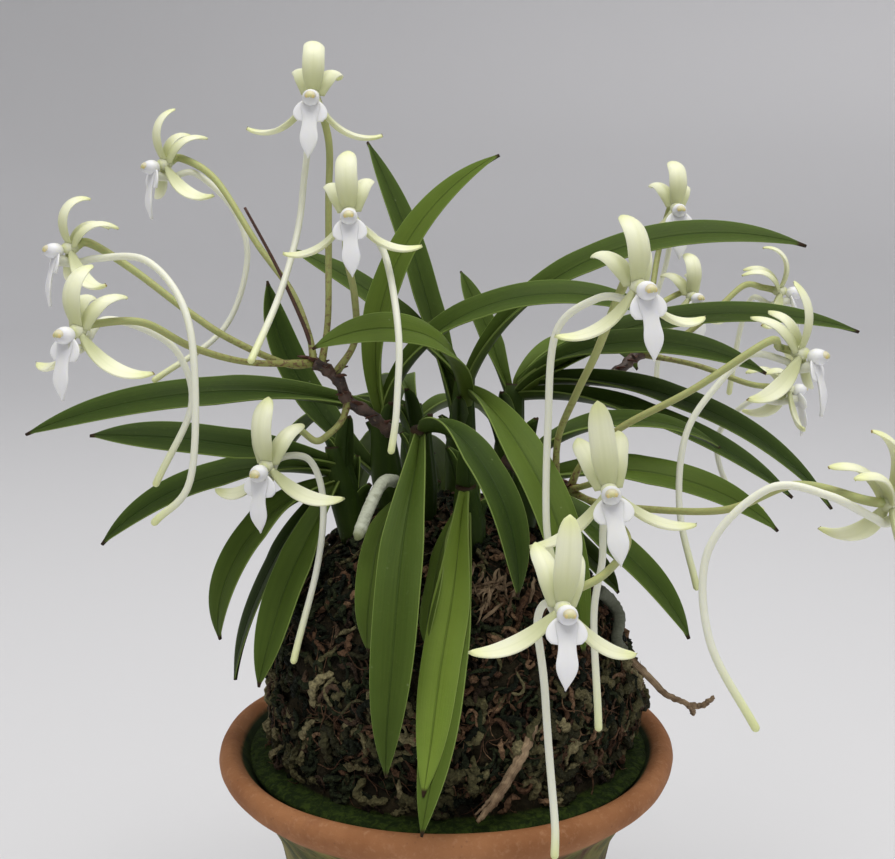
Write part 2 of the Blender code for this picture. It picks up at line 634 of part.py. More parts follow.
def make_twig(home, bark):
    extras = make_collection("twig_forks")
    twig = rod("twig", TWIG, (0.8, 0.6, 0.5), 1, home)
    rod("fork", TWIG_FORK, (0.6, 0.5, 0.4), 1, extras)
    return join(twig, extras, home, bark)


def main():
    clear_scene()
    home = make_collection("wind_orchid")
    cutters = make_collection("cutters", hidden=True)
    clay = make_material("terracotta", (0.52, 0.24, 0.13), 0.75)
    moss = make_material("sphagnum", (0.07, 0.05, 0.03), 0.95)
    leaf_green = make_material("leaf", (0.08, 0.17, 0.04), 0.4)
    cream = make_material("tepal", (0.82, 0.86, 0.62), 0.45)
    white = make_material("lip", (0.9, 0.9, 0.86), 0.4)
    stalk = make_material("stalk", (0.32, 0.3, 0.1), 0.55)
    velamen = make_material("velamen", (0.45, 0.5, 0.38), 0.7)
    bark = make_material("bark", (0.2, 0.13, 0.08), 0.85)
    make_pot(home, cutters, clay)
    make_mound(home, cutters, moss)
    for name in GROWTHS:
        make_growth(name, home, leaf_green)
    for name in RACEMES:
        make_raceme(name, home, stalk)
    for name in BLOOMS:
        make_tepals(name, home, cream)
        make_lip(name, home, white)
    make_free_root(home, velamen)
    for name in MOSS_ROOTS:
        make_moss_root(name, home, velamen)
    make_twig(home, bark)


main()
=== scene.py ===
"""Looks of the potted wind orchid: leaves, blooms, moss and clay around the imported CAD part.

Working numbers are millimetres and degrees; heights of the plant are counted from the pot's lip.
Heading 0 is +X and 90 is +Y. Camera, lights and backdrop are in metres, with the pot's foot at 0.
"""
import math

import bpy
import numpy as np
from mathutils import Matrix, Vector


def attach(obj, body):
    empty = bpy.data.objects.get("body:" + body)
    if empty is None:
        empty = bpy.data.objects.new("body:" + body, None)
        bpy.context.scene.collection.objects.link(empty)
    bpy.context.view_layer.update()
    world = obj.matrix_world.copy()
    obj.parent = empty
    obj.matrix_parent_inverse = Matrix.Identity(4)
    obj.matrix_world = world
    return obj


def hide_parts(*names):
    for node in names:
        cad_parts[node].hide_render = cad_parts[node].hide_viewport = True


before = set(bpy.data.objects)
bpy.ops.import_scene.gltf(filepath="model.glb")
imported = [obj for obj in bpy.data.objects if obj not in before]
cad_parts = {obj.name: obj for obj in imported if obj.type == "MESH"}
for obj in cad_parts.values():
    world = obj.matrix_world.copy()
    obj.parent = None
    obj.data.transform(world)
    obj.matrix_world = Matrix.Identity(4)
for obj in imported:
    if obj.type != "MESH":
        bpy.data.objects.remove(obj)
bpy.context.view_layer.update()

MM = 0.001
SEED = 11

# Pot: (radius, height from the lip) of the turned wall, down the outside and up the inside, and the
# length of the pieces that the profile is cut into.
POT_HEIGHT = 62.0
POT_FLOOR = -57.5
POT_OUTSIDE = ((35.0, 0.0), (36.4, 0.7), (37.9, 0.1), (38.5, -1.6), (38.0, -3.6), (36.4, -4.8),
               (32.6, -8.0), (28.6, -15.0), (27.0, -23.0), (23.4, -61.0), (22.2, -62.0))
POT_INSIDE = ((19.6, POT_FLOOR), (23.4, -25.0), (25.2, -15.0), (28.8, -8.5), (33.6, -2.2))
POT_PIECE = 1.2
POT_SEGMENTS = 160

# Moss mound: (radius, height from the lip) above the pot; below it the moss follows the wall. It leans
# to +X at the lean height, and is scooped out in front from the lip up to the top of the scoop.
MOUND_PROFILE = ((33.5, -1.3), (32.7, -0.8), (29.8, -0.4), (30.3, 4.0), (30.8, 9.0), (30.1, 14.0),
                 (28.2, 20.0), (25.4, 26.0), (21.0, 32.0), (15.2, 37.0), (8.2, 40.4), (0.0, 41.6))
MOUND_RADII, MOUND_HEIGHTS = np.array(MOUND_PROFILE).T
MOUND_CROWN = 41.5
MOUND_LEAN = 1.6
LEAN_HEIGHT = 9.0
LEAN_SPREAD = 8.0
MOUND_SCOOP = 1.8
SCOOP_TOP = 16.0
MOUND_RELIEF = 0.8
MOUND_SEGMENTS = 220
MOUND_ROWS = 130
ALGAE_TOP = 0.0622

# Plant: a leaf that rises less than the hanging rise isn't gathered into the stem at its root, and
# the crease is how round the fold along a midrib is.
LEAF_THICKNESS = 0.75
LEAF_ROWS = 44
HANGING_RISE = -10
LEAF_SET = 1.3
SHEATH_ROWS = 5
SHEATHS = 4
STEM_RADIUS = 2.7
TEPAL_THICKNESS = 0.55
PEDICEL_RADIUS = 0.52
AXIS_RADIUS = 0.85
SPUR_RADIUS = 0.55
ROOT_RADIUS = 1.05
ROOT_CLEARANCE = 1.3
ROOT_ROWS = 46
ARC_STEPS = 80
CREASE = 0.012

# Growths: foot and top of each short leafy stem.
GROWTHS = {
    "a": ((-9, 3, 36), (-11, 4, 55)),
    "b": ((2, 8, 36), (3, 10, 60)),
    "c": ((-4, -5, 36), (-4, -9, 55)),
    "d": ((10, 13, 36), (12, 16, 58)),
    "e": ((-15, -3, 35), (-18, -3, 51)),
    "f": ((12, -3, 35), (13, -6, 50)),
    "g": ((4, -12, 35), (3, -14, 47)),
    "h": ((-5, 16, 36), (-6, 19, 54)),
}

# Leaves: place up the stem, heading, rise at the root, droop by the tip, sideways sway, length,
# lateness of the droop, width and roll; then how light its green is.
LEAVES = {
    "a": ((1.0, 186, 23, 44, -5, 58, 0.7, 7.0, -35, 0.05),
          (0.93, 23, 110, 81, -30, 51, 0.9, 7.0, 35, 0.6),
          (1.0, 349, 85, 110, 4, 55, 0.7, 7.0, 30, 0.15),
          (0.4, 161, 38, -46, -13, 40, 1.4, 7.0, -18, 0.0)),
    "b": ((0.6, 135, 75, 20, 0, 54, 1.2, 6.5, 0, 0.12),
          (1.0, 155, 45, 25, 5, 38, 1.2, 6.5, -20, 0.15),
          (0.8, 271, 49, 76.5, -78, 43, 1.6, 6.5, -45, 0.5),
          (0.9, 290, 0, 80, 10, 57, 1.1, 7.5, 0, 0.42),
          (1.0, 350, 70, 85, 5, 64, 0.8, 7.0, 35, 0.18)),
    "c": ((0.4, 246, 2, 99, 17, 33, 1.4, 6.0, 25, 0.3),
          (0.9, 266, -18, 71, -13, 55, 0.9, 7.0, 0, 0.19),
          (1.0, 300, 20, 110, 5, 38, 0.9, 7.2, -10, 0.0)),
    "d": ((0.9, 140, 67, 11, -5, 24, 1.2, 5.0, -10, 0.2),
          (1.0, 350, 42, 58, 10, 60, 0.8, 7.0, 25, 0.1),
          (0.95, 330, 54, 80, 25, 45, 0.7, 7.0, 30, 0.05),
          (1.0, 350, 9, 60, 5, 60, 1.0, 7.0, 25, 0.0),
          (0.9, 340, 11, 47, 0, 50, 0.7, 7.0, 15, 0.0),
          (1.0, 40, 55, 100, 0, 34, 0.8, 6.5, 0, 0.45),
          (0.9, 355, 45, 30, 0, 20, 1.0, 6.0, 15, 0.6)),
    "e": ((0.8, 210, 20, 15, -10, 39, 0.9, 7.0, -35, 0.0),
          (0.7, 190, 15, 60, 0, 40, 1.0, 7.0, -25, 0.05),
          (0.6, 210, -5, 90, 0, 34, 1.1, 7.0, -15, 0.25),
          (0.6, 240, -35, 35, -5, 35, 1.0, 7.0, 0, 0.2),
          (0.6, 206, -40, 40, -5, 36, 1.0, 6.0, 0, 0.0)),
    "f": ((1.0, 5, 42, 75, 10, 33, 0.8, 6.5, 15, 0.1),
          (0.7, 355, 15, 55, -5, 41, 1.2, 7.0, 28, 0.34),
          (0.6, 320, -15, 45, 15, 35, 1.3, 7.2, 10, 0.12),
          (0.5, 320, -30, 10, 0, 21, 1.1, 6.0, 0, 0.2)),
    "g": ((0.7, 236, -41, 10, 30, 23.5, 1.3, 4.5, 40, 0.3),
          (0.9, 260, -50, 5, -5, 46, 1.1, 6.2, 0, 1.0),
          (0.6, 264, -42, 15, -13, 49, 0.9, 6.4, 10, 0.4)),
    "h": ((1.0, 100, 20, 80, 0, 46, 1.0, 7.0, 0, 0.25),
          (0.9, 140, 15, 80, 5, 40, 1.0, 7.0, 0, 0.15),
          (0.8, 60, 20, 85, -5, 46, 1.0, 7.0, 0, 0.3),
          (0.7, 115, 0, 75, 0, 38, 1.1, 6.5, 0, 0.2),
          (0.6, 80, -5, 70, 0, 38, 1.1, 6.5, 0, 0.15)),
}

# Racemes: the route of the axis, then of each flower stalk, from the axis to behind its bloom.
RACEMES = {
    "left": {
        "axis": ((-9, -8, 54), (-11, -11, 57), (-15, -12, 60), (-17, -13, 64), (-20, -14, 66)),
        "01": ((-19, -14, 65), (-18, -12, 72), (-18, -9, 80), (-18, -7, 90), (-18, -5, 99)),
        "02": ((-17, -13, 64), (-14, -10.5, 69), (-14, -10.5, 76), (-15, -13, 83)),
        "03": ((-20, -14, 66), (-21, -11, 70), (-24, -6, 76), (-30, 0, 83), (-38, 10, 93)),
        "04": ((-20, -14, 66), (-24, -15, 66), (-32, -17, 70), (-38, -17, 74), (-46, -16, 80)),
        "05": ((-20, -14, 66), (-29, -20, 67), (-36, -26, 70), (-42, -30, 74)),
        "06": ((-15, -12, 60), (-16, -13, 57), (-18, -14, 55), (-20, -14, 54), (-23, -15, 56)),
    },
    "right": {
        "axis": ((9, -9, 50), (13, -11, 48), (17, -12, 47), (19, -13, 46)),
        "07": ((17, -12, 47), (17, -16, 55), (19, -23, 63), (21, -30, 70)),
        "08": ((19, -13, 46), (21, -22, 49), (21, -33, 52)),
        "09": ((19, -13, 46), (23, -20, 45), (26, -30, 43), (21, -44, 42)),
        "10": ((19, -13, 46), (21, -15, 51), (26, -19, 57), (36, -21, 63), (47, -20, 70)),
        "11": ((19, -13, 46), (22, -20, 46), (27, -28, 47), (38, -37, 49), (46, -43, 54)),
    },
    "back": {
        "axis": ((20, 18, 56), (25, 20, 58), (30, 22, 59), (33, 24, 61), (35, 25, 62)),
        "12": ((35, 25, 62), (37, 30, 68), (39, 37, 76), (41, 42, 83)),
        "13": ((35, 25, 62), (41, 22, 65), (48, 24, 70), (54, 29, 74)),
        "14": ((33, 24, 61), (35, 27, 64), (38, 33, 69)),
        "15": ((35, 25, 62), (45, 25, 60), (54, 23, 57)),
    },
}
WITHERED_STALK = ((-20, -13, 67), (-22, -11, 72), (-26, -8, 80), (-31, -6, 89))

# Blooms: middle, heading it faces, pitch, roll, how far its tepals curl back, size, and how far
# its lower sepals turn; then the route of the spur behind the flower, down to its tip.
BLOOMS = {
    "01": ((-20, -10, 105), 270, 0, -3, 1.1, 0.98, 12,
           ((-21, -4, 102), (-22, -2, 94), (-23, -5, 86), (-25, -14, 76), (-28, -25, 68))),
    "02": ((-14, -19, 88), 272, 0, 3, 0.85, 0.96, 22,
           ((-12, -14, 86), (-9, -13, 82), (-7, -21, 71), (-7, -24, 62), (-8, -26, 55))),
    "03": ((-48, 13, 95), 215, -5, 0, 0.85, 0.95, 25,
           ((-42, 14, 94), (-36, 15, 88), (-34, 15, 79), (-38, 13, 68), (-49, 8, 60))),
    "04": ((-56, -18, 83), 210, 0, 0, 1.1, 0.9, 18,
           ((-51, -17.5, 82), (-43, -22, 82), (-37, -27, 76), (-35, -30, 67), (-36, -32, 52),
            (-41, -32, 46))),
    "05": ((-50, -37, 73), 243, 0, 0, 0.9, 0.96, 28,
           ((-48, -27, 74), (-43, -23, 72), (-39, -20, 68), (-38, -19, 60), (-43, -21, 49))),
    "06": ((-27, -22, 51), 250, -8, 0, 0.75, 1.0, 35,
           ((-25, -17, 52), (-21, -14, 51), (-19, -14, 45), (-20, -17, 34), (-23, -23, 22))),
    "07": ((25.2, -43, 79.5), 288, 0, 5, 0.9, 1.0, 25,
           ((24, -40, 78), (20, -37, 78), (15, -34, 73), (14, -33, 60), (14, -35, 47), (15, -36, 40))),
    "08": ((22, -41, 52), 268, 8, 8, 0.15, 1.05, 30,
           ((22, -35, 48), (22, -33, 41), (21, -34, 33), (21, -41, 19))),
    "09": ((14.8, -56, 40.5), 278, 8, -4, 0.1, 1.02, 45,
           ((13, -50, 40), (12, -48, 36), (13, -49, 27), (14, -53, 14), (14, -56, 8))),
    "10": ((54.5, -15, 67), 325, 0, 0, 0.5, 1.0, 45,
           ((51, -13.3, 66.4), (46.5, -12, 67), (42, -12, 63), (37, -13, 55), (36, -14, 43), (39, -15, 31))),
    "11": ((57, -51, 53), 15, 0, 0, 0.8, 1.0, 55,
           ((53, -54, 52.5), (47, -55, 55.5), (40, -53.5, 56), (33, -53, 48), (33, -55, 37), (39, -57, 26))),
    "12": ((43, 38, 87), 275, 0, 0, 1.0, 1.0, 15,
           ((43, 44, 84), (43, 48, 77), (41, 48, 70), (39, 43, 60))),
    "13": ((63, 34, 72), 350, 0, 0, 1.0, 0.95, 40,
           ((60, 35, 70), (58, 38, 71), (57, 42, 67), (55, 43, 52))),
    "14": ((46, 34, 71), 290, 0, 0, 1.0, 0.9, 20,
           ((44, 38, 68), (43, 41, 65), (41, 42, 59), (40, 38, 52))),
    "15": ((63, 26, 55), 20, 0, 0, 1.0, 0.95, 50,
           ((60, 26, 53), (55, 26, 53), (50, 28, 46), (53, 29, 36), (59, 29, 32))),
}

# Which way round the sides of these petals go, from the bloom's own left.
FACING = {"strap": -1.0, "lobe": 1.0}

# Roots: the route of the free one; for each on the moss, the headings of its two ends, then their heights.
FREE_ROOT = ((-8, -9, 46.5), (-9, -15, 48), (-10, -19, 48), (-11.5, -23.5, 45.5), (-13, -27, 42))
MOSS_ROOTS = {"root_right": (337, 344, 29, 19), "root_left": (172, 160, 31, 12), "root_back": (80, 60, 33, 6)}
TWIG = ((27.5, -8.5, 19), (31.3, -9, 15.5), (35.8, -9, 10.9), (39.6, -9, 9), (40.5, -8, 7))
TWIG_FORK = ((39.6, -9, 9), (41.5, -10.5, 9.6), (43.2, -11, 11.2))

# Bark on the moss: the splinter's route and its fibres, each with a sideways drift, a radius and a
# share of the route; then the flake's heading and place up the mound, and its number of fibres.
SPLINTER = ((13.5, -27.6, 14.5), (11.5, -29.6, 10.5), (8.8, -31.0, 6.0), (6.2, -32.2, 2.6), (4.6, -33.2, 1.0))
SPLINTER_FIBRES = ((0.0, 0.75, 1.0), (0.7, 0.45, 0.8), (-0.6, 0.4, 0.9), (0.3, 0.3, 1.0))
FLAKE_HEADING = 287
FLAKE_PLACE = 0.60
FLAKE_FIBRES = 40

# Moss colours: painted shade for the folds, along a strand and at its pale end.
MOSS_COLOURS = {
    "dark_green": ((0.005, 0.008, 0.003), (0.030, 0.040, 0.015), (0.095, 0.110, 0.045)),
    "brown": ((0.018, 0.011, 0.007), (0.095, 0.058, 0.034), (0.26, 0.175, 0.105)),
    "rust": ((0.030, 0.013, 0.008), (0.150, 0.080, 0.042), (0.36, 0.225, 0.125)),
    "tan": ((0.024, 0.024, 0.010), (0.130, 0.118, 0.052), (0.42, 0.36, 0.19)),
}

# Moss strands: colour, number, range of length, radius and tint, how far up the mound they go, rows,
# sides, how far they may stray from the mound, the heading they gather round, and the most they curl.
MOSS_LAYERS = {
    "moss_dark_strands": ("dark_green", 1500, (3, 7), (0.25, 0.6), (0.0, 0.8), 0.98, 10, 6, 1.4, None, 5.0),
    "moss_brown_strands": ("brown", 650, (2.5, 7), (0.18, 0.5), (0.0, 0.8), 0.98, 10, 6, 1.8, None, 5.0),
    "moss_olive_lumps": ("tan", 300, (4, 8), (0.5, 0.9), (0.0, 1.0), 0.36, 16, 9, 1.9, None, 3.6),
    "moss_tan_strands": ("tan", 340, (3, 8), (0.22, 0.5), (0.0, 0.9), 0.98, 13, 7, 1.8, None, 4.0),
    "moss_rust_strands": ("rust", 420, (3, 8), (0.25, 0.6), (0.3, 1.0), 0.98, 12, 6, 2.2, 325, 5.0),
    "moss_fibres": ("rust", 700, (5, 12), (0.07, 0.14), (0.3, 1.0), 0.98, 14, 4, 2.6, None, 3.0),
}

# Stage: (radius, height) of the backdrop, then the camera, then each light's place, size, power and colour.
BACKDROP_PROFILE = ((0.3, 0.0), (0.8, 0.0), (1.05, 0.012), (1.25, 0.06), (1.40, 0.17), (1.48, 0.34),
                    (1.5, 0.6), (1.5, 1.5))
BACKDROP_SEGMENTS = 96
CAMERA_PLACE = (0.0002, -0.2164, 0.1573)
CAMERA_TILT = 11.05
SENSOR_WIDTH = 36.0
FOCAL_PIXELS = 1350.0
PICTURE_WIDTH_PIXELS = 895.0
LIGHT_AIM = (0.0, 0.0, 0.1)
LIGHTS = {
    "top_softbox": ((0.05, -0.15, 0.95), (0.8, 0.7), 7.0, (1.0, 0.985, 0.955)),
    "front_fill": ((-0.5, -0.95, 0.45), (0.7, 0.5), 0.6, (1.0, 1.0, 1.0)),
}
WORLD_COLOUR = (0.98, 0.98, 1.0, 1.0)
WORLD_STRENGTH = 0.46


# ---- shapes

def unit(vectors):
    return vectors / np.maximum(np.linalg.norm(vectors, axis=-1, keepdims=True), 1e-9)


def smoothstep(low, high, value):
    t = np.clip((value - low) / (high - low), 0.0, 1.0)
    return t * t * (3 - 2 * t)


def spread(values, count):
    """The values as a line through evenly set knots, read at a number of even places."""
    return np.interp(np.linspace(0, 1, count), np.linspace(0, 1, len(values)), values)


def turns(count):
    """Even angles right round a ring."""
    return np.linspace(0, math.tau, count, endpoint=False)


def pointing(rise, heading):
    """The unit vector at a rise and a heading in degrees."""
    up, level = np.radians(rise), np.radians(heading)
    return np.stack([np.cos(up) * np.cos(level), np.cos(up) * np.sin(level), np.sin(up) + 0 * level], -1)


def ring_places(across, along, seed):
    """The place of each point of some rings: across its body, along it, and the body's own seed."""
    places = np.empty((len(along), len(across), 3))
    places[..., 0] = across
    places[..., 1] = np.asarray(along)[:, None]
    places[..., 2] = seed
    return places


class Shape:
    """Collects lofted bodies into one mesh, with a place (across, along, seed) and a tint for each point."""

    def __init__(self):
        self.points, self.quads, self.triangles, self.places, self.tints = [], [], [], [], []
        self.count = 0

    def loft(self, rings, places, tint):
        """Skins closed rings, shaped (stations, around, 3), and closes both ends with a fan."""
        stations, around = rings.shape[:2]
        here = np.arange(around) + self.count
        there = np.roll(here, -1)
        row = np.arange(stations - 1)[:, None] * around
        quads = np.stack([row + here, row + there, row + around + there, row + around + here], -1)
        self.quads.append(quads.reshape(-1, 4))
        first = self.count + stations * around
        end = (stations - 1) * around
        self.triangles += [np.stack([np.full(around, first), there, here], -1),
                           np.stack([np.full(around, first + 1), end + here, end + there], -1)]
        self.points += [rings.reshape(-1, 3), rings[:1].mean(1), rings[-1:].mean(1)]
        places = places.reshape(-1, 3)
        self.places += [places, places[:1], places[-1:]]
        tints = np.broadcast_to(tint, (stations, around)).ravel()
        self.tints += [tints, tints[:1], tints[-1:]]
        self.count = first + 2

    def build(self, name, material, slot, *nodes):
        """Makes the mesh object, in metres from the pot's foot, and lets it stand for its CAD nodes."""
        points = (np.vstack(self.points) + (0.0, 0.0, POT_HEIGHT)) * MM
        quads, triangles = np.vstack(self.quads), np.vstack(self.triangles)
        corners = np.concatenate([quads.ravel(), triangles.ravel()])
        starts = np.concatenate([np.arange(len(quads)) * 4, len(quads) * 4 + np.arange(len(triangles)) * 3])
        mesh = bpy.data.meshes.new(name)
        mesh.vertices.add(len(points))
        mesh.vertices.foreach_set("co", points.astype(np.float32).ravel())
        mesh.loops.add(len(corners))
        mesh.loops.foreach_set("vertex_index", corners.astype(np.int32))
        mesh.polygons.add(len(starts))
        mesh.polygons.foreach_set("loop_start", starts.astype(np.int32))
        mesh.update(calc_edges=True)
        mesh.validate()
        place = mesh.attributes.new("place", "FLOAT_VECTOR", "POINT")
        place.data.foreach_set("vector", np.vstack(self.places).astype(np.float32).ravel())
        tint = mesh.attributes.new("tint", "FLOAT", "POINT")
        tint.data.foreach_set("value", np.concatenate(self.tints).astype(np.float32))
        mesh.shade_smooth()
        mesh.materials.append(material)
        obj = bpy.data.objects.new(name, mesh)
        bpy.context.scene.collection.objects.link(obj)
        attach(obj, "root")
        if nodes:
            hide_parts(*nodes)


def arc(start, heading, rise, droop, sway, length, late, stations):
    """Points, directions and left-hand sides along a blade that bends down as it goes out."""
    way = (np.arange(ARC_STEPS) + 0.5) / ARC_STEPS
    ahead = pointing(rise - droop * way**late, heading + sway * way)
    path = np.vstack([start, start + np.cumsum(ahead, axis=0) * length / ARC_STEPS])
    points = np.stack([spread(path[:, axis], stations) for axis in range(3)], 1)
    places = np.linspace(0.0, 1.0, stations)
    directions = pointing(rise - droop * places**late, heading + sway * places)
    sides = pointing(0.0, heading + sway * places + 90)
    return points, directions, sides


def smooth_route(points, pieces):
    """A Catmull-Rom curve through the points, with the given number of pieces in each span."""
    knots = [np.array(point, float) for point in points]
    knots = [2 * knots[0] - knots[1]] + knots + [2 * knots[-1] - knots[-2]]
    route = []
    for before, left, right, after in zip(knots, knots[1:], knots[2:], knots[3:]):
        for step in range(pieces):
            t = step / pieces
            route.append(0.5 * (2 * left + (right - before) * t
                                + (2 * before - 5 * left + 4 * right - after) * t**2
                                + (3 * left - before - 3 * right + after) * t**3))
    route.append(knots[-2])
    return np.array(route)


def blade(shape, points, directions, sides, half_width, fold, cup, thickness, keel, seed, tint=0.0,
          roll=0.0, columns=11):
    """A closed blade along its midrib: folded to a V, cupped, thick in the middle and thin at its edges.
    The half-width, fold, cup and thickness are each one number, or one for each point."""
    half_width, fold, cup, thickness = (np.broadcast_to(row, len(points))[:, None]
                                        for row in (half_width, fold, cup, thickness))
    across = np.sin(np.linspace(-math.pi / 2, math.pi / 2, columns))
    turn = math.radians(roll)
    lefts = sides * math.cos(turn) + np.cross(directions, sides) * math.sin(turn)
    lifts = np.cross(directions, lefts)
    bend = (np.sqrt(across**2 + CREASE) - math.sqrt(CREASE)) / (math.sqrt(1 + CREASE) - math.sqrt(CREASE))
    out = across * half_width * np.cos(fold)
    high = bend * half_width * np.sin(fold) + cup * half_width * across**2
    slope = np.gradient(high, across, axis=1) / (half_width * np.cos(fold))
    tilt = unit(np.stack([-slope, np.ones_like(slope)], -1))
    body = thickness * (1 - 0.75 * np.abs(across) ** 3) / 2
    rib = keel * np.exp(-(across / 0.16) ** 2)
    middle = np.stack([out, high], -1)
    top = middle + tilt * body[..., None]
    low = middle - tilt * (body + rib)[..., None]
    ring = np.concatenate([low, top[:, ::-1]], axis=1)
    rings = points[:, None] + ring[..., :1] * lefts[:, None] + ring[..., 1:] * lifts[:, None]
    along = np.linspace(0.0, 1.0, len(points))
    shape.loft(rings, ring_places(np.concatenate([across, across[::-1]]), along, seed), tint)


def tube(shape, route, radii, sides, seed, tint=0.0, ridges=0, ridge_depth=0.0, flat=1.0):
    """A round or ridged stalk along a route, with its radii spread evenly along it."""
    route = np.asarray(route, float)
    ahead = unit(np.gradient(route, axis=0))
    normal = np.cross(ahead[0], (0.3, 0.9, 0.2))
    lefts = []
    for direction in ahead:
        normal = unit(normal - direction * normal.dot(direction))
        lefts.append(normal)
    lefts = np.array(lefts)
    ups = np.cross(ahead, lefts)
    angles = turns(sides)
    radii = spread(radii, len(route))[:, None] * (1 + ridge_depth * np.cos(ridges * angles))
    rings = (route[:, None] + (radii * np.cos(angles))[..., None] * lefts[:, None]
             + (radii * np.sin(angles) * flat)[..., None] * ups[:, None])
    shape.loft(rings, ring_places(np.linspace(-1, 1, sides), np.linspace(0, 1, len(route)), seed), tint)


def rounded(route, radii):
    """The same route and radii with a rounded end of a few short steps."""
    radii = spread(radii, len(route))
    ahead = unit(route[-1] - route[-2])
    angles = np.radians((30, 55, 75))
    ends = route[-1] + ahead * (radii[-1] * np.sin(angles))[:, None]
    return np.vstack([route, ends]), np.concatenate([radii, radii[-1] * np.cos(angles)])


def egg(shape, bloom, centre, half_sizes, seed, tint=0.0, segments=16, rows=11, pinch=0.0):
    """An egg-shaped body of a bloom; pinch draws it in towards its front end."""
    angles = turns(segments)
    heights = np.sin(np.linspace(-0.985, 0.985, rows) * math.pi / 2)[:, None]
    ring = np.sqrt(1 - heights**2) * (1 - pinch * heights)
    local = np.stack(np.broadcast_arrays(heights, ring * np.cos(angles), ring * np.sin(angles)), -1)
    rings = placed(bloom, local * half_sizes + centre)
    shape.loft(rings, ring_places(np.cos(angles), (heights[:, 0] + 1) / 2, seed), tint)


# ---- materials

class Paint:
    """A Principled material whose colour, roughness and relief come from nodes."""

    def __init__(self, name, **fixed):
        self.material = bpy.data.materials.new(name)
        self.material.use_nodes = True
        self.tree = self.material.node_tree
        self.shader = self.tree.nodes["Principled BSDF"]
        for key, value in fixed.items():
            self.shader.inputs[key.replace("_", " ")].default_value = value
        self.where = self.add("ShaderNodeTexCoord").outputs["Object"]
        place = self.add("ShaderNodeAttribute", attribute_name="place").outputs["Vector"]
        self.across, self.along, self.seed = self.split(place)
        self.tint = self.add("ShaderNodeAttribute", attribute_name="tint").outputs["Fac"]

    def add(self, kind, **settings):
        node = self.tree.nodes.new(kind)
        for key, value in settings.items():
            setattr(node, key, value)
        return node

    def feed(self, node, index, value):
        if isinstance(value, bpy.types.NodeSocket):
            self.tree.links.new(value, node.inputs[index])
        else:
            node.inputs[index].default_value = value

    def split(self, vector):
        node = self.add("ShaderNodeSeparateXYZ")
        self.feed(node, 0, vector)
        return node.outputs

    def math(self, operation, *values, clamp=False):
        node = self.add("ShaderNodeMath", operation=operation, use_clamp=clamp)
        for index, value in enumerate(values):
            self.feed(node, index, value)
        return node.outputs[0]

    def plus(self, first, second):
        return self.math("ADD", first, second)

    def times(self, first, second):
        return self.math("MULTIPLY", first, second)

    def swing(self, noise, size):
        """A noise about zero, in place of about a half."""
        return self.times(self.math("SUBTRACT", noise, 0.5), size)

    def step(self, value, low, high):
        """0 below low and 1 above high, smooth between; low may be the larger."""
        node = self.add("ShaderNodeMapRange", interpolation_type="SMOOTHSTEP")
        self.feed(node, 0, value)
        ends = (low, high, 0.0, 1.0) if low < high else (high, low, 1.0, 0.0)
        for index, end in enumerate(ends):
            node.inputs[index + 1].default_value = end
        return node.outputs[0]

    def mix(self, factor, first, second):
        node = self.add("ShaderNodeMix", data_type="RGBA")
        self.feed(node, 0, factor)
        for index, colour in ((6, first), (7, second)):
            self.feed(node, index, (*colour, 1.0) if isinstance(colour, tuple) else colour)
        return node.outputs[2]

    def cover(self, under, over, mask, share):
        """Lays a colour over another where the mask is 1, and only as strongly as the share."""
        return self.mix(self.times(mask, share), under, over)

    def noise(self, scale, detail, roughness=0.55, vector=None, distortion=0.0):
        node = self.add("ShaderNodeTexNoise")
        self.feed(node, "Vector", vector or self.where)
        for key, value in (("Scale", scale), ("Detail", detail), ("Roughness", roughness),
                           ("Distortion", distortion)):
            node.inputs[key].default_value = value
        return node.outputs["Fac"]

    def streaks(self, across, along, seed, detail=3.0, roughness=0.6):
        """A noise that is stretched along the body, and differs from body to body."""
        vector = self.add("ShaderNodeCombineXYZ")
        for index, value in enumerate((self.times(self.across, across), self.times(self.along, along),
                                       self.times(self.seed, seed))):
            self.feed(vector, index, value)
        return self.noise(1.0, detail, roughness, vector.outputs[0])

    def cells(self, scale):
        node = self.add("ShaderNodeTexVoronoi")
        self.feed(node, "Vector", self.where)
        node.inputs["Scale"].default_value = scale
        return node.outputs["Distance"]

    def finish(self, colour, roughness, height=None, depth=0.1):
        """Joins up the shader; depth is the relief's, in millimetres."""
        self.feed(self.shader, "Base Color", colour)
        self.feed(self.shader, "Roughness", roughness)
        if height is not None:
            bump = self.add("ShaderNodeBump")
            bump.inputs["Distance"].default_value = depth * MM
            self.feed(bump, "Height", height)
            self.feed(self.shader, "Normal", bump.outputs[0])
        return self.material


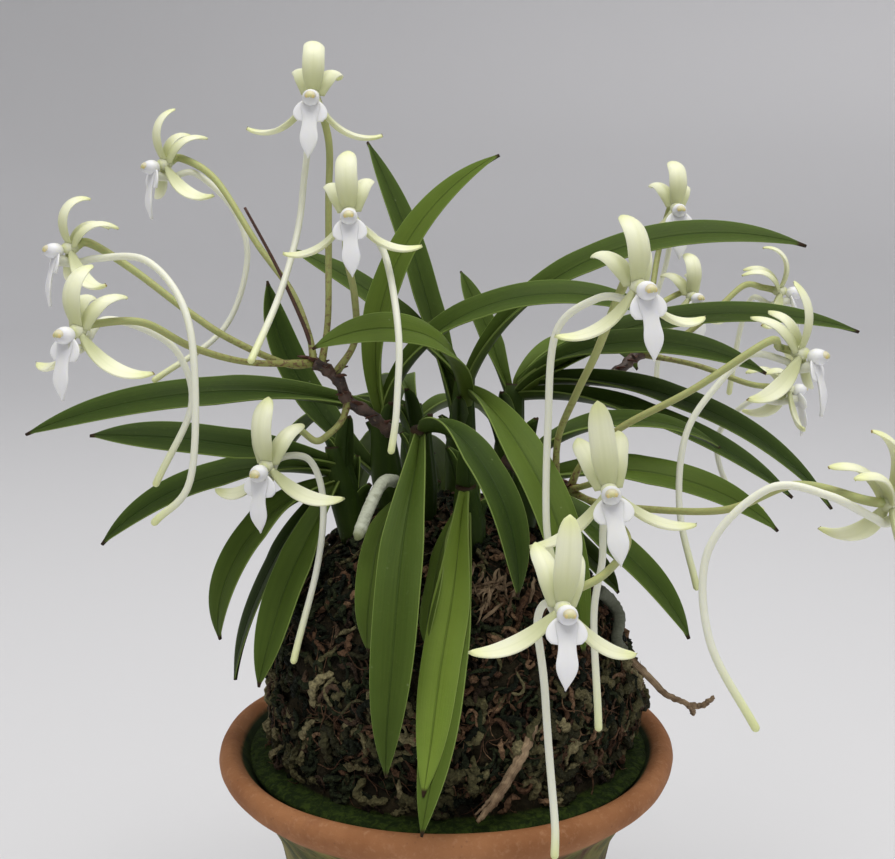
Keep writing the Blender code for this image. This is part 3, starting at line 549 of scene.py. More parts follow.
def leaf_paint():
    """Dark green, darker along the midrib and pale at the edge; tint turns it to a light yellow-green."""
    p = Paint("leaf_green", Specular_IOR_Level=0.1, Subsurface_Weight=0.1, Subsurface_Scale=0.0012,
              Subsurface_Radius=(0.35, 0.8, 0.15))
    off = p.math("ABSOLUTE", p.across)
    streaks = p.streaks(9.0, 2.2, 31.0)
    cloud = p.noise(150.0, 3.0, 0.6)
    grain = p.noise(1400.0, 2.0, 0.5)
    dark = p.mix(cloud, (0.019, 0.038, 0.005), (0.034, 0.060, 0.008))
    light = p.mix(cloud, (0.135, 0.205, 0.024), (0.180, 0.255, 0.040))
    tone = p.math("ADD", p.tint, p.swing(streaks, 0.22), clamp=True)
    colour = p.mix(tone, dark, light)
    colour = p.cover(colour, (0.016, 0.034, 0.008), p.step(off, 0.12, 0.0), 0.32)
    colour = p.cover(colour, (0.11, 0.17, 0.03), p.step(off, 0.30, 0.95), 0.22)
    colour = p.cover(colour, (0.26, 0.34, 0.09), p.step(off, 0.955, 0.99), 0.6)
    colour = p.cover(colour, (0.10, 0.13, 0.03), p.step(p.along, 0.22, 0.0), 0.3)
    colour = p.cover(colour, (0.12, 0.17, 0.05), p.step(grain, 0.60, 0.80), 0.15)
    specks = p.times(p.step(p.cells(330.0), 0.08, 0.03), p.step(cloud, 0.52, 0.60))
    colour = p.cover(colour, (0.26, 0.30, 0.16), specks, 0.3)
    differing = p.times(p.math("FRACT", p.times(p.seed, 7.31)), 0.012)
    dry = p.plus(p.plus(p.along, p.swing(cloud, 0.03)), differing)
    colour = p.mix(p.step(dry, 0.982, 0.996), colour, (0.035, 0.020, 0.010))
    veins = p.times(p.math("SINE", p.times(p.across, 46.0)), 0.05)
    groove = p.times(p.step(off, 0.10, 0.0), -1.6)
    height = p.plus(p.plus(veins, groove), p.plus(p.times(grain, 0.5), p.times(streaks, 0.35)))
    return p.finish(colour, p.plus(0.44, p.times(cloud, 0.22)), height, 0.07)


def petal_paint(name, body, shade, tip, tip_start):
    """A waxy, slightly translucent petal with painted shade over its base, that turns to another colour at
    its tip.
    """
    p = Paint(name, Specular_IOR_Level=0.4, Subsurface_Weight=0.3, Subsurface_Scale=0.002,
              Subsurface_Radius=(1.0, 0.95, 0.6))
    off = p.math("ABSOLUTE", p.across)
    cloud = p.noise(260.0, 3.0, 0.6)
    veins = p.streaks(7.0, 1.4, 17.0, 2.0, 0.5)
    colour = p.cover(body, shade, p.step(veins, 0.30, 0.80), 0.07)
    # painted shade: each petal is darkened from the middle down to its base, standing in for the shade on its
    # front face under the top light
    colour = p.cover(colour, shade, p.step(p.along, 0.62, 0.12), 0.85)
    colour = p.cover(colour, tip, p.step(p.along, tip_start, 1.0), 0.7)
    colour = p.cover(colour, shade, p.step(off, 0.25, 0.0), 0.12)
    colour = p.cover(colour, shade, cloud, 0.18)
    height = p.plus(p.times(veins, 0.06), p.times(p.noise(1800.0, 2.0), 0.25))
    return p, colour, p.plus(0.36, p.times(cloud, 0.16)), height


def tepal_paint():
    """Cream sepals and petals; about half of them have a brown tip."""
    p, colour, roughness, height = petal_paint(
        "tepal_cream", (0.93, 0.945, 0.66), (0.52, 0.55, 0.29), (0.74, 0.79, 0.30), 0.68)
    colour = p.mix(p.times(p.step(p.along, 0.985, 1.0), p.step(p.seed, 0.5, 0.6)), colour, (0.32, 0.22, 0.08))
    return p.finish(colour, roughness, height, 0.07)


def lip_paint():
    """White lip and column; tint 0 is white, 0.5 the spur, 0.76 the pale anther cap and 1 the pollen."""
    p, colour, roughness, height = petal_paint(
        "lip_white", (0.95, 0.95, 0.94), (0.88, 0.88, 0.85), (0.93, 0.93, 0.89), 0.8)
    spur = p.mix(p.step(p.along, 0.80, 1.0), (0.84, 0.85, 0.70), (0.72, 0.78, 0.30))
    spur = p.cover(spur, (0.74, 0.75, 0.60), p.noise(240.0, 2.0), 0.4)
    colour = p.mix(p.step(p.tint, 0.35, 0.45), colour, spur)
    colour = p.mix(p.step(p.tint, 0.6, 0.95), colour, (0.96, 0.79, 0.30))
    return p.finish(colour, roughness, height, 0.05)


def stalk_paint():
    """Tint 0 is the green flower stalk, 0.5 the purple-brown axis, and 1 a dried red-brown bract or stalk."""
    p = Paint("stalk_green", Specular_IOR_Level=0.45, Subsurface_Weight=0.1, Subsurface_Scale=0.001)
    cloud = p.noise(380.0, 3.0, 0.6)
    spots = p.noise(1500.0, 3.0, 0.65)
    pale = p.mix(p.along, (0.24, 0.25, 0.06), (0.50, 0.54, 0.23))
    speckled = p.times(p.step(spots, 0.50, 0.62), p.step(p.along, 0.55, 0.0))
    colour = p.cover(pale, (0.13, 0.045, 0.03), speckled, 0.85)
    axis = p.mix(p.step(cloud, 0.35, 0.65), (0.030, 0.019, 0.015), (0.095, 0.055, 0.040))
    axis = p.mix(p.step(spots, 0.58, 0.70), axis, (0.16, 0.11, 0.07))
    dried = p.mix(cloud, (0.030, 0.010, 0.006), (0.10, 0.038, 0.018))
    colour = p.mix(p.step(p.tint, 0.2, 0.45), colour, axis)
    colour = p.mix(p.step(p.tint, 0.65, 0.9), colour, dried)
    return p.finish(colour, p.plus(0.42, p.times(cloud, 0.3)), p.plus(spots, p.times(cloud, 1.5)), 0.10)


def root_paint():
    """Grey-green velamen with faint rings and a green tip; tint 1 is the darker grey of an old root."""
    p = Paint("root_velamen", Specular_IOR_Level=0.25)
    rings = p.streaks(1.5, 26.0, 1.0)
    cloud = p.noise(420.0, 3.0, 0.6)
    colour = p.mix(cloud, (0.30, 0.33, 0.24), (0.62, 0.64, 0.52))
    colour = p.cover(colour, (0.20, 0.21, 0.13), p.step(rings, 0.52, 0.70), 0.55)
    colour = p.mix(p.step(p.along, 0.90, 1.0), colour, (0.20, 0.22, 0.10))
    old = p.mix(cloud, (0.05, 0.055, 0.035), (0.17, 0.185, 0.13))
    colour = p.cover(colour, old, p.tint, 0.9)
    return p.finish(colour, p.plus(0.55, p.times(cloud, 0.3)), p.plus(p.times(rings, 1.6), cloud), 0.22)


def moss_paint(name, dark, middle, light):
    """Matted strands with painted shade: a near-black colour laid on in patches stands in for the shade in
    their folds, with paler leafy ends. Tint makes a strand lighter.
    """
    p = Paint(name, Specular_IOR_Level=0.2)
    cloud = p.noise(90.0, 4.0, 0.65)
    fine = p.noise(1100.0, 3.0, 0.7)
    tone = p.plus(p.times(cloud, 0.55), p.times(p.tint, 0.75))
    # painted shade: the near-black fold colour is laid over patches and fine flecks of each strand
    colour = p.mix(p.step(tone, 0.30, 0.80), dark, middle)
    colour = p.mix(p.step(tone, 0.72, 1.15), colour, light)
    colour = p.cover(colour, dark, p.step(fine, 0.35, 0.7), 0.6)
    height = p.plus(p.times(p.cells(1500.0), 2.0), fine)
    return p.finish(colour, p.plus(0.78, p.times(fine, 0.2)), height, 0.45)


def dark_moss_and_shade_paint():
    """The dark inside of the moss, partly its own dark brown and partly painted shade for the depths between
    the strands, with a ring of green algae where it meets the pot.
    """
    p = Paint("moss_depths", Specular_IOR_Level=0.15)
    cloud = p.noise(140.0, 4.0, 0.7)
    fine = p.noise(900.0, 3.0, 0.7, distortion=0.6)
    # painted shade over the moss's own dark: the near-black base colour seen between the strands
    colour = p.mix(p.step(cloud, 0.35, 0.65), (0.008, 0.007, 0.004), (0.030, 0.024, 0.012))
    colour = p.cover(colour, (0.085, 0.060, 0.030), p.step(fine, 0.55, 0.75), 0.5)
    level = p.split(p.where)[2]
    algae = p.mix(p.step(fine, 0.4, 0.65), (0.010, 0.020, 0.003), (0.034, 0.056, 0.008))
    colour = p.mix(p.step(level, ALGAE_TOP, ALGAE_TOP - 0.0008), colour, algae)
    return p.finish(colour, p.plus(0.85, p.times(fine, 0.12)), p.plus(fine, cloud), 0.6)


def clay_paint():
    """Terracotta: warm and blotched on the rim, green with algae inside, mossy and stained on the body.
    The seed of a point is its height from the lip, in millimetres, and its tint is 1 inside the pot."""
    p = Paint("terracotta_clay", Specular_IOR_Level=0.3)
    cloud = p.noise(55.0, 4.0, 0.6)
    grain = p.noise(900.0, 4.0, 0.7)
    patches = p.noise(95.0, 4.0, 0.65, distortion=0.8)
    stretched = p.add("ShaderNodeMapping")
    stretched.inputs["Scale"].default_value = (1.0, 1.0, 0.35)
    p.feed(stretched, 0, p.where)
    runs = p.noise(110.0, 4.0, 0.65, stretched.outputs[0], 0.5)
    clay = p.mix(p.step(cloud, 0.3, 0.7), (0.28, 0.112, 0.040), (0.43, 0.192, 0.080))
    clay = p.cover(clay, (0.24, 0.095, 0.045), p.step(patches, 0.52, 0.74), 0.55)
    clay = p.cover(clay, (0.58, 0.33, 0.19), p.step(grain, 0.5, 0.75), 0.35)
    clay = p.cover(clay, (0.16, 0.07, 0.04), p.step(p.cells(650.0), 0.16, 0.08), 0.35)
    body = p.mix(p.step(runs, 0.38, 0.62), (0.045, 0.055, 0.012), (0.21, 0.185, 0.045))
    body = p.mix(p.step(patches, 0.50, 0.62), body, (0.085, 0.035, 0.014))
    body = p.cover(body, (0.34, 0.30, 0.11), p.step(cloud, 0.52, 0.70), 0.8)
    level = p.plus(p.seed, p.swing(patches, 3.0))
    colour = p.mix(p.step(level, -5.0, -7.0), clay, body)
    algae = p.mix(p.step(patches, 0.4, 0.65), (0.012, 0.024, 0.004), (0.040, 0.062, 0.010))
    colour = p.mix(p.times(p.tint, p.step(level, -0.1, -0.9)), colour, algae)
    height = p.plus(p.times(grain, 0.7), p.times(patches, 0.8))
    return p.finish(colour, p.plus(0.62, p.times(grain, 0.3)), height, 0.25)


def bark_paint():
    p = Paint("bark_brown", Specular_IOR_Level=0.25)
    cloud = p.noise(300.0, 4.0, 0.65)
    fibre = p.streaks(8.0, 3.0, 9.0, 3.0, 0.65)
    colour = p.mix(p.step(cloud, 0.3, 0.7), (0.15, 0.092, 0.050), (0.46, 0.335, 0.205))
    colour = p.cover(colour, (0.065, 0.038, 0.022), p.step(fibre, 0.5, 0.7), 0.6)
    return p.finish(colour, p.plus(0.7, p.times(cloud, 0.25)), p.plus(fibre, cloud), 0.35)


def stage_paint():
    """Pale paper with painted light: darker on the left than on the right, a painted fall-off of the light
    across it, and with a greyer floor.
    """
    p = Paint("pale_paper", Specular_IOR_Level=0.2)
    x, _, z = p.split(p.where)
    cloud = p.noise(3.0, 2.0)
    # painted light: the paper's colour falls from right to left, standing in for the light fading across the
    # backdrop
    side = p.plus(x, p.times(cloud, 0.1))
    colour = p.mix(p.step(side, -0.9, 0.9), (0.60, 0.60, 0.61), (0.955, 0.95, 0.965))
    colour = p.mix(p.step(z, 0.30, 0.02), colour, (0.735, 0.735, 0.75))
    return p.finish(colour, p.plus(0.8, p.times(cloud, 0.1)))


# ---- leaves

def leaf_width(place, width):
    root = np.minimum(1.0, 0.5 + 1.3 * place)
    tip = 1.0 - np.clip((place - 0.5) / 0.5, 0.0, 1.0) ** 3.2
    return width * root * np.maximum(0.05, tip)


def leaf_fold(place):
    return np.radians(62 - 44 * np.minimum(1.0, place / 0.45))


def make_leaf(shape, foot, top, row, rng):
    """One leaf of a growth; a few rows below its own root sink it into the stem."""
    lift, heading, rise, droop, sway, length, late, width, roll, tone = row
    upward = unit(top - foot)
    start = foot + (top - foot) * lift + LEAF_SET * pointing(0, heading)
    points, ahead, sides = arc(start, heading, rise, droop, sway, length, late, LEAF_ROWS)
    places = np.linspace(0.0, 1.0, LEAF_ROWS)
    ripple = 0.20 * np.sin(places * 9 + rng.random() * 6) * np.sin(places * math.pi)
    points = points + sides * ripple[:, None]
    rising = rise > HANGING_RISE
    below = np.linspace(SHEATH_ROWS, 1, SHEATH_ROWS)[:, None] * (1.1 if rising else 0.2)
    root_ahead = unit(upward + ahead[0]) if rising else ahead[0]
    points = np.vstack([start - upward * below, points])
    ahead = np.vstack([np.tile(root_ahead, (SHEATH_ROWS, 1)), ahead])
    sides = np.vstack([np.tile(sides[0], (SHEATH_ROWS, 1)), sides])
    places = np.concatenate([np.zeros(SHEATH_ROWS), places])
    half = leaf_width(places, width) / 2
    half[:SHEATH_ROWS] *= np.linspace(0.75, 1.0, SHEATH_ROWS)
    thick = LEAF_THICKNESS * (1.25 - 0.75 * places**1.5)
    blade(shape, points, ahead, sides, half, leaf_fold(places), -0.10, thick, 0.22, rng.random(), tone,
          roll, 13)


def make_growth(name, paint, rng):
    """A short stem with its leaves, and the dry sheaths round its foot."""
    foot, top = np.array(GROWTHS[name], float)
    shape = Shape()
    radii = np.array((0.8, 1.0, 0.6)) * STEM_RADIUS
    tube(shape, np.linspace(foot, top, 9), radii, 16, rng.random())
    for row in LEAVES[name]:
        make_leaf(shape, foot, top, row, rng)
    for k in range(SHEATHS):
        heading = 90 * k + rng.uniform(-25, 25)
        low = foot + unit(top - foot) * (1.0 + 2.5 * k) + 0.9 * pointing(0, heading)
        points, ahead, sides = arc(low, heading, 84, 22, 0, 9 + 1.5 * k, 2.0, 12)
        half = 2.6 * np.sqrt(1 - 0.96 * np.linspace(0, 1, 12) ** 3)
        blade(shape, points, ahead, sides, half, math.radians(48), 0.0, 0.45, 0.1, rng.random(), columns=9)
    shape.build(f"leaves_{name}", paint, "leaf", f"growth_{name}")


# ---- blooms and their stalks

def bloom_frame(name):
    """The middle of a bloom, how it is turned, and its size."""
    centre, heading, pitch, roll = BLOOMS[name][:4]
    turn = (Matrix.Rotation(math.radians(heading), 3, "Z") @ Matrix.Rotation(math.radians(-pitch), 3, "Y")
            @ Matrix.Rotation(math.radians(roll), 3, "X"))
    return np.array(centre, float), np.array(turn), BLOOMS[name][5]


def placed(bloom, vectors):
    centre, turn, size = bloom
    return np.asarray(vectors, float) @ turn.T * size + centre


def widening(place, first, full):
    """From a first width up to 1 at the place where it is full."""
    return first + (1 - first) * np.sin(np.minimum(1.0, place / full) * math.pi / 2)


def round_tip(place, start, blunt, power=2.0):
    """1 up to where the tip starts, then a round end that is still a little blunt."""
    return np.sqrt(np.clip(1 + blunt - (np.maximum(0.0, place - start) / (1 - start)) ** power, blunt, 1.0))


def outline(kind, place):
    """Half-width of a petal along its length, as a share of the widest."""
    if kind == "strap":
        return (widening(place, 0.5, 0.4) - 0.1 * place**2) * round_tip(place, 0.66, 0.003)
    if kind == "pod":
        return np.sin(math.pi * (0.09 + 0.85 * place)) ** 0.9 * round_tip(place, 0.93, 0.01)
    if kind == "tongue":
        tip = np.maximum(0.06, 1.0 - (np.maximum(0.0, place - 0.55) / 0.45) ** 2)
        return (0.88 + 0.12 * np.cos(9.0 * place)) * tip
    return widening(place, 0.7, 0.5) * round_tip(place, 0.45, 0.005, 2.6)


def petal(shape, bloom, kind, start, heading, rise, droop, sway, length, late, width, seed, roll, cup,
          thickness=TEPAL_THICKNESS, rows=28):
    """A petal in its bloom's own frame, where +X is ahead; straps and lobes keep their width level."""
    turn, size = bloom[1:]
    points, ahead, sides = arc(np.array(start, float), heading, rise, droop, sway, length, late, rows)
    if kind in FACING:
        sides = unit(FACING[kind] * ((0.0, 1.0, 0.0) - ahead * ahead[:, 1:2]))
    places = np.linspace(0.0, 1.0, rows)
    half = size * width / 2 * outline(kind, places)
    thick = size * thickness * (1.15 - 0.45 * places)
    blade(shape, placed(bloom, points), ahead @ turn.T, sides @ turn.T, half, 0.0, cup, thick, 0.05, seed,
          roll=roll)


def wobble(name, part, amount):
    """A small fixed difference from bloom to bloom."""
    return amount * math.sin(int(name) * 2.17 + part * 1.31)


def make_tepals(name, paint, rng):
    bloom = bloom_frame(name)
    curl, lateral_turn = BLOOMS[name][4], BLOOMS[name][6]
    shape = Shape()
    egg(shape, bloom, (-1.3, 0, 0.6), (1.5, 1.1, 1.1), rng.random())
    petal(shape, bloom, "strap", (-1.2, 0, 1.0), 180 + wobble(name, 0, 5), 110 + 12 * curl, 30 + 110 * curl,
          0, 11.5, 1.4, 3.4, rng.random(), wobble(name, 9, 6), -0.26)
    for side in (-1, 1):
        petal(shape, bloom, "strap", (-1.5, side * 1.0, 0.7), side * (152 + wobble(name, side, 3)),
              84 + wobble(name, 2 + side, 3), 66 + 54 * curl, side * 20, 9.7, 1.0, 3.0, rng.random(),
              0.0, -0.4)
        petal(shape, bloom, "pod", (-1.2, side * 0.7, 0.1), side * (104 + wobble(name, 5 + side, 4)),
              -53 - 10 * min(1.0, curl), -56 - 30 * curl, side * 6, 12.8, 1.3, 2.6, rng.random(),
              side * lateral_turn, 0.30, 0.8)
    shape.build(f"tepals_{name}", paint, "tepal", f"bloom_{name}_tepals")


def make_lip(name, paint, rng):
    """Column, anther cap with its two yellow pollen masses, the lip's three lobes, and the spur."""
    bloom = bloom_frame(name)
    shape = Shape()
    egg(shape, bloom, (1.5, 0, 0.2), (1.7, 1.3, 1.25), rng.random(), 0.0, 20, 13, 0.1)
    egg(shape, bloom, (2.3, 0, 0.35), (0.93, 0.95, 0.85), rng.random(), 0.76, 16, 9)
    for side in (-1, 1):
        egg(shape, bloom, (2.80, side * 0.36, 0.34), (0.36, 0.40, 0.40), rng.random(), 1.0, 10, 7)
        petal(shape, bloom, "lobe", (0.9, side * 0.3, -0.7), side * 64, -50, 10, 0, 3.1, 1.0, 2.7,
              rng.random(), 0.0, 0.16, 0.6, 16)
    petal(shape, bloom, "tongue", (0.9, 0, -0.8), 0, -60, 38, 0, 8.3, 1.0, 2.9, rng.random(), 0.0, 0.14, 0.75)
    throat, heel = placed(bloom, ((1.3, 0, -1.0), (-1.8, 0, -1.9)))
    route = smooth_route([throat, heel, *BLOOMS[name][-1]], 9)
    wave = np.sin(np.linspace(0, 19, len(route)) + int(name)) * 0.10
    route = route + np.stack([wave, wave[::-1], 0 * wave], 1)
    radii = SPUR_RADIUS * np.interp(np.linspace(0, 1, len(route)), (0, 0.1, 0.2, 0.85, 1.0),
                                    (1.9, 1.3, 1.0, 0.92, 1.0))
    tube(shape, *rounded(route, radii), 12, rng.random(), 0.5)
    shape.build(f"lip_{name}", paint, "lip", f"bloom_{name}_lip")


def bract(shape, at, heading, rise, length, width, seed):
    points, ahead, sides = arc(np.array(at, float), heading, rise, 30, 0, length, 1.0, 9)
    half = width / 2 * (1 - np.linspace(0, 1, 9) ** 1.6) + 0.05
    blade(shape, points, ahead, sides, half, 0.7, 0.0, 0.22, 0.03, seed, 1.0, 0.0, 7)


def make_raceme(name, paint, rng):
    """A knobbly axis with its bracts, and the stalk of each bloom from the axis to behind its flower."""
    stalks = dict(RACEMES[name])
    route = smooth_route(stalks.pop("axis"), 10)
    shape = Shape()
    knots = np.linspace(0, 1, len(route))
    swell = 1 + 0.30 * np.exp(-((knots[:, None] - np.linspace(0.08, 1.0, 7)[None]) / 0.028) ** 2).sum(1)
    zigzag = 0.16 * np.sin(knots * 22)
    route = route + np.stack([zigzag, -zigzag, 0.5 * zigzag], 1)
    tube(shape, route, AXIS_RADIUS * swell, 14, rng.random(), 0.5, 5, 0.06)
    for at in route[4::6]:
        bract(shape, at + (0, -0.5, 0.2), rng.uniform(190, 350), rng.uniform(10, 70), rng.uniform(1.6, 2.6),
              1.5, rng.random())
    for bloom, stalk in stalks.items():
        ends = placed(bloom_frame(bloom), ((-4.6, 0, 1.2), (-2.0, 0, 0.7)))
        radii = PEDICEL_RADIUS * np.array((1.25, 0.95, 0.95, 1.0, 1.0, 1.05, 1.1, 1.2, 1.3))
        tube(shape, smooth_route([*stalk, *ends], 9), radii, 14, rng.random(), 0.0, 6, 0.07)
        along_x, along_y, _ = np.subtract(stalk[1], stalk[0])
        bract(shape, stalk[0], math.degrees(math.atan2(along_y, along_x)), 40, 2.8, 1.7, rng.random())
    if name == "left":
        radii = (0.38, 0.30, 0.27, 0.24, 0.2)
        tube(shape, smooth_route(WITHERED_STALK, 9), radii, 8, rng.random(), 1.0, 3, 0.2)
    shape.build(f"stalks_{name}", paint, "stalk", f"raceme_{name}")


# ---- moss, roots and bark

def mound_radius(height):
    return np.interp(height, MOUND_HEIGHTS, MOUND_RADII)


def moss_relief(angle, height):
    waves = (0.6 * np.sin(5 * angle + 0.35 * height) + 0.4 * np.sin(9 * angle - 0.5 * height)
             + 0.5 * np.sin(3 * angle + 0.9 * height))
    scoop = np.maximum(0.0, -np.sin(angle)) * np.clip(1.0 - height / SCOOP_TOP, 0.0, 1.0)
    return MOUND_RELIEF * waves - MOUND_SCOOP * scoop


def mound_lean(height):
    return MOUND_LEAN * np.exp(-((height - LEAN_HEIGHT) / LEAN_SPREAD) ** 2)


def lumps(points, rng, count, size):
    """A smooth random height for each point, from crossed waves of about the given size."""
    total = np.zeros(len(points))
    for _ in range(count):
        axis = unit(rng.normal(size=3))
        total += np.sin(points @ axis * math.tau / (size * rng.uniform(0.7, 1.5)) + rng.uniform(0, math.tau))
    return total / math.sqrt(count)


def mound_point(angle, at):
    """A point of the moss and its normal, from its heading and its place, 0 at the lip and 1 at the crown."""
    rises, falls = np.diff(MOUND_HEIGHTS), -np.diff(MOUND_RADII)
    run = np.concatenate([[0], np.cumsum(np.hypot(falls, rises))])
    height = np.interp(at * run[-1], run, MOUND_HEIGHTS)
    radius = np.interp(at * run[-1], run, MOUND_RADII)
    fade = np.minimum(1.0, radius / 6.0) * np.clip((height - 1.0) / 3.0, 0, 1)
    out = radius + moss_relief(angle, height) * fade
    point = np.stack([out * np.cos(angle) + mound_lean(height), out * np.sin(angle), height], -1)
    slope = np.interp(at * run[-1], (run[:-1] + run[1:]) / 2, np.arctan2(rises, falls))
    return point, pointing(90 - np.degrees(slope), np.degrees(angle))


def make_mound(paint, rng):
    angles = turns(MOUND_SEGMENTS)
    at = np.linspace(0, 0.992, MOUND_ROWS)
    grid_angle, grid_at = np.meshgrid(angles, at)
    points, normals = mound_point(grid_angle.ravel(), grid_at.ravel())
    rough = (0.5 * lumps(points, rng, 9, 5.0) + 0.45 * lumps(points, rng, 9, 2.4)
             + 0.25 * lumps(points, rng, 9, 1.2))
    level = smoothstep(0.0, 3.0, points[:, 2])
    points = points + normals * ((rough - 0.9) * 0.8 * level + 0.12 * rough * (1 - level))[:, None]
    below = [np.stack([(radius - 0.5) * np.cos(angles), (radius - 0.5) * np.sin(angles),
                       np.full(MOUND_SEGMENTS, height)], -1) for radius, height in POT_INSIDE]
    rings = np.concatenate([below, points.reshape(MOUND_ROWS, MOUND_SEGMENTS, 3)])
    shape = Shape()
    shape.loft(rings, ring_places(np.sin(angles), np.linspace(0, 1, len(rings)), 0.0), 0.2)
    shape.build("moss_depths", paint, "sphagnum", "moss_mound")


def strand(shape, point, normal, rng, length, radius, curl, tint, rows, sides, stray):
    """One curled strand that lies on the moss, with both of its ends tucked in."""
    start = unit(np.cross(normal, rng.normal(size=3)))
    places = np.linspace(0, 1, rows)
    turn = curl * (places - 0.5) + 0.6 * np.sin(places * rng.uniform(3, 9) + rng.uniform(0, 6))
    heading = np.cos(turn)[:, None] * start + np.sin(turn)[:, None] * np.cross(normal, start)
    path = np.cumsum(heading, axis=0) * length / rows
    path -= path.mean(0)
    lift = radius * (1.5 * np.sin(places * math.pi) ** 0.7 - 0.9) + rng.uniform(-0.9, 0.5)
    lift += 0.35 * radius * np.sin(places * rng.uniform(6, 14) + rng.uniform(0, 6))
    path = point + path + normal * lift[:, None]
    path[:, 2] = np.maximum(path[:, 2], -0.2)
    flat = np.hypot(path[:, 0] - mound_lean(path[:, 2]), path[:, 1])
    ahead = np.maximum(0.0, -path[:, 1] / np.maximum(flat, 1.0)) * np.clip(1 - path[:, 2] / SCOOP_TOP, 0, 1)
    shell = mound_radius(np.clip(path[:, 2], 0.6, MOUND_CROWN)) + stray - MOUND_SCOOP * ahead
    over = np.maximum(0.0, flat - shell)
    path[:, :2] -= path[:, :2] / np.maximum(flat, 1e-6)[:, None] * over[:, None]
    bumps = 1 + 0.28 * np.sin(places * rows * 1.9 + rng.uniform(0, 6))
    tube(shape, path, radius * bumps * (0.3 + 0.7 * np.sin(places * math.pi) ** 0.6), sides, rng.random(),
         tint, 3, 0.15, rng.uniform(0.6, 1.0))


def make_strands(name, paint, rng, count, lengths, radii, tints, high, rows, sides, stray, facing, curl):
    """Strands from the moss's edge up to a place on it, spread evenly over its surface."""
    shape = Shape()
    weight = np.linspace(0.075, high, 400)
    point, _ = mound_point(np.zeros(400), weight)
    share = np.cumsum(np.maximum(point[:, 0], 2.0))
    for _ in range(count):
        at = np.interp(rng.random() * share[-1], share, weight)
        angle = rng.uniform(0, math.tau)
        if facing is not None:
            angle = math.radians(facing) + rng.normal() * 0.9
        point, normal = mound_point(angle, at)
        strand(shape, point, normal, rng, rng.uniform(*lengths), rng.uniform(*radii),
               rng.uniform(-curl, curl), rng.uniform(*tints), rows, sides, stray)
    shape.build(name, paint, "sphagnum")


def make_moss_root(name, paint, rng):
    first, last, high, low = MOSS_ROOTS[name]
    place = np.linspace(0, 1, ROOT_ROWS)
    height = high + (low - high) * place
    angle = np.radians(first + (last - first) * place + 5 * np.sin(5 * place))
    out = mound_radius(height) + moss_relief(angle, height) + ROOT_RADIUS + ROOT_CLEARANCE
    route = np.stack([out * np.cos(angle) + mound_lean(height), out * np.sin(angle), height], -1)
    radii = ROOT_RADIUS * (1 + 0.05 * rng.normal(size=ROOT_ROWS)) * np.linspace(1.0, 0.85, ROOT_ROWS)
    shape = Shape()
    tube(shape, route, radii, 18, rng.random(), 1.0, 7, 0.03)
    shape.build(f"velamen_{name}", paint, "velamen", name)


def make_front_root(paint, rng):
    route = smooth_route(FREE_ROOT, 14)
    rows = len(route)
    taper = np.interp(np.linspace(0, 1, rows), (0, 0.9, 0.97, 1), (0.92, 0.874, 0.736, 0.322))
    radii = ROOT_RADIUS * (1 + 0.03 * rng.normal(size=rows)) * taper
    shape = Shape()
    tube(shape, route, radii, 20, rng.random(), 0.0, 7, 0.03)
    shape.build("velamen_root_front", paint, "velamen", "root_front")


def make_twig(paint, rng):
    shape = Shape()
    for route, radii in ((TWIG, (0.8, 0.62, 0.5, 0.4)), (TWIG_FORK, (0.6, 0.5, 0.42, 0.3))):
        fine = smooth_route(route, 10)
        fine = fine + rng.normal(size=fine.shape) * 0.07
        tube(shape, fine, radii, 10, rng.random(), 0.0, 4, 0.12)
    shape.build("bark_twig", paint, "bark", "twig")


def make_bark_bits(paint, rng):
    """A splinter of bark that lies on the moss in front, and a frayed flake of it higher up."""
    shape = Shape()
    for drift, radius, share in SPLINTER_FIBRES:
        fine = smooth_route(SPLINTER, 9)
        fine = fine[: int(len(fine) * share)]
        way = np.linspace(0, 1, len(fine))[:, None] ** 2
        fine = fine + rng.normal(size=fine.shape) * 0.08 + way * (drift * 1.8, drift * 0.4, abs(drift) * 0.5)
        tube(shape, fine, radius * np.array((0.5, 1.0, 0.9, 0.7, 0.35)), 9, rng.random(), 0.0, 4, 0.2, 0.7)
    way = np.linspace(-0.5, 0.5, 8)[:, None]
    for _ in range(FLAKE_FIBRES):
        middle, normal = mound_point(math.radians(FLAKE_HEADING + rng.normal() * 5),
                                     FLAKE_PLACE + rng.normal() * 0.03)
        slope = unit(np.cross(normal, (-0.55, -0.5, -0.45)))
        slope = unit(np.cross(slope, normal) + 0.45 * rng.normal(size=3))
        run = way * rng.uniform(2.0, 5.5)
        line = middle + normal * rng.uniform(0.6, 2.0) + slope * run + rng.normal(size=(8, 3)) * 0.10
        line -= normal * (2.5 * way**2)
        radii = rng.uniform(0.12, 0.38) * np.array((0.4, 1.0, 1.0, 0.3))
        tube(shape, line, radii, 7, rng.random(), 0.0, 3, 0.2)
    shape.build("bark_bits", paint, "bark")


# ---- pot

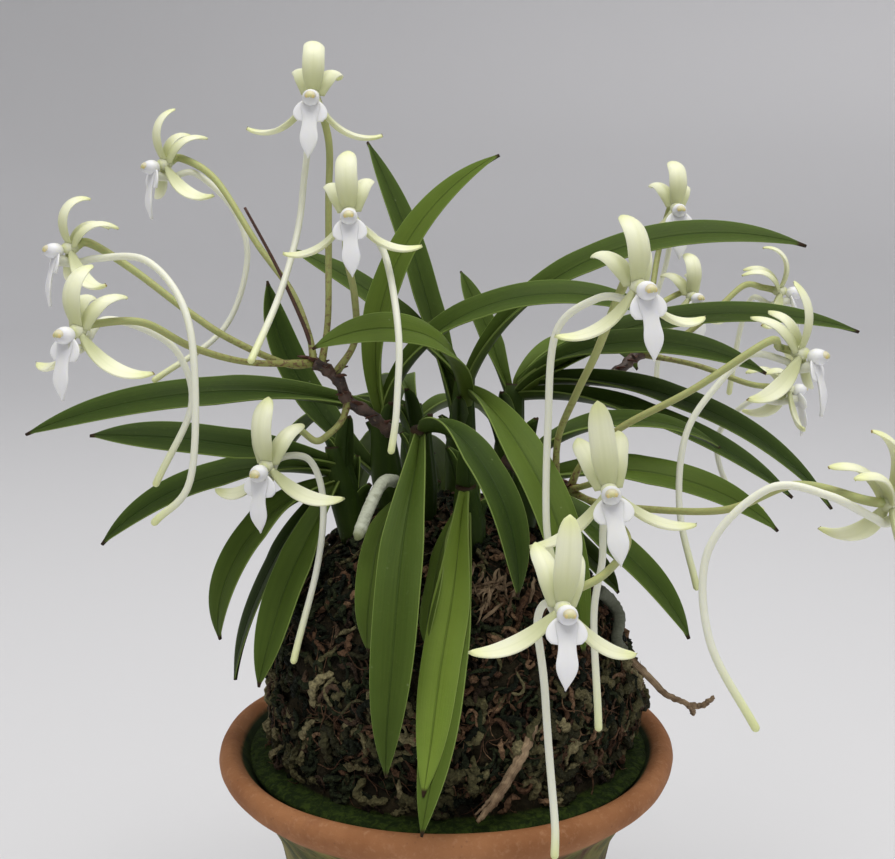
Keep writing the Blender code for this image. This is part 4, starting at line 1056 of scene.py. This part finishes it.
def make_pot(paint):
    """The turned wall with its corners softened, a little out of round."""
    profile = np.vstack([(0.0, POT_FLOOR), POT_INSIDE, POT_OUTSIDE, (0.0, -POT_HEIGHT)])
    fine, inner = [], []
    for k, (start, end) in enumerate(zip(profile, profile[1:])):
        pieces = max(2, int(np.linalg.norm(end - start) / POT_PIECE))
        fine.append(np.linspace(start, end, pieces, endpoint=False))
        inner += [float(k <= len(POT_INSIDE))] * pieces
    fine = np.vstack([*fine, profile[-1]])
    inner = np.array([*inner, 0.0])
    kernel = np.array((1, 2, 3, 2, 1)) / 9
    smooth = np.stack([np.convolve(np.pad(fine[:, k], 2, mode="edge"), kernel, "valid") for k in range(2)], 1)
    kept = fine[:, 1] < -55
    smooth[kept] = fine[kept]
    radius, height = np.maximum(smooth[:, :1], 0.02), smooth[:, 1:]
    angles = turns(POT_SEGMENTS)
    uneven = 0.12 * np.sin(2 * angles + 0.8) + 0.08 * np.sin(5 * angles) + 0.05 * np.sin(11 * angles + 2)
    out = radius + uneven * np.minimum(1.0, radius / 20.0) * (height > -50)
    up = height + 0.06 * np.sin(3 * angles + 1) * (height > -8)
    rings = np.stack([out * np.cos(angles), out * np.sin(angles), up], -1)
    places = ring_places(np.sin(angles), np.linspace(0, 1, len(smooth)), height)
    shape = Shape()
    shape.loft(rings[::-1], places[::-1], inner[::-1, None])
    shape.build("clay_pot", paint, "terracotta", "pot")


# ---- stage

def make_stage():
    """A wide bowl of paper: flat under the pot, and standing up all round it."""
    around = BACKDROP_SEGMENTS
    points = [(0.0, 0.0, 0.0)]
    for radius, height in BACKDROP_PROFILE:
        points += [(radius * math.cos(angle), radius * math.sin(angle), height) for angle in turns(around)]
    faces = [(0, 1 + k, 1 + (k + 1) % around) for k in range(around)]
    for row in range(len(BACKDROP_PROFILE) - 1):
        low, high = 1 + row * around, 1 + (row + 1) * around
        faces += [(low + k, high + k, high + (k + 1) % around, low + (k + 1) % around) for k in range(around)]
    mesh = bpy.data.meshes.new("backdrop")
    mesh.from_pydata(points, [], faces)
    mesh.shade_smooth()
    mesh.materials.append(stage_paint())
    backdrop = bpy.data.objects.new("backdrop", mesh)
    bpy.context.scene.collection.objects.link(backdrop)


def make_light(name, place, size, energy, colour):
    light = bpy.data.lights.new(name, "AREA")
    light.shape = "RECTANGLE"
    light.size, light.size_y = size
    light.energy = energy
    light.color = colour
    obj = bpy.data.objects.new(name, light)
    obj.location = place
    obj.rotation_euler = (Vector(LIGHT_AIM) - Vector(place)).to_track_quat("-Z", "Y").to_euler()
    obj.visible_camera = False
    bpy.context.scene.collection.objects.link(obj)


def make_world():
    world = bpy.data.worlds.new("studio")
    world.use_nodes = True
    background = world.node_tree.nodes["Background"]
    background.inputs["Color"].default_value = WORLD_COLOUR
    background.inputs["Strength"].default_value = WORLD_STRENGTH
    bpy.context.scene.world = world


def make_camera():
    camera = bpy.data.cameras.new("camera")
    camera.sensor_width = SENSOR_WIDTH
    camera.lens = FOCAL_PIXELS * SENSOR_WIDTH / PICTURE_WIDTH_PIXELS
    camera.clip_start = 0.01
    obj = bpy.data.objects.new("camera", camera)
    obj.location = CAMERA_PLACE
    obj.rotation_euler = (math.radians(90 - CAMERA_TILT), 0.0, 0.0)
    bpy.context.scene.collection.objects.link(obj)
    bpy.context.scene.camera = obj


def main():
    rng = np.random.default_rng(SEED)
    make_camera()
    make_stage()
    make_world()
    for name, settings in LIGHTS.items():
        make_light(name, *settings)
    bpy.context.scene.view_settings.view_transform = "Standard"

    leaf, stalk, tepal, lip = leaf_paint(), stalk_paint(), tepal_paint(), lip_paint()
    velamen, bark = root_paint(), bark_paint()
    moss = {name: moss_paint(f"moss_{name}", *colours) for name, colours in MOSS_COLOURS.items()}
    for name in GROWTHS:
        make_growth(name, leaf, rng)
    for name in RACEMES:
        make_raceme(name, stalk, rng)
    for name in BLOOMS:
        make_tepals(name, tepal, rng)
        make_lip(name, lip, rng)
    for name in MOSS_ROOTS:
        make_moss_root(name, velamen, rng)
    make_front_root(velamen, rng)
    make_twig(bark, rng)
    make_mound(dark_moss_and_shade_paint(), rng)
    for name, (colour, *settings) in MOSS_LAYERS.items():
        make_strands(name, moss[colour], rng, *settings)
    make_bark_bits(bark, rng)
    make_pot(clay_paint())


main()
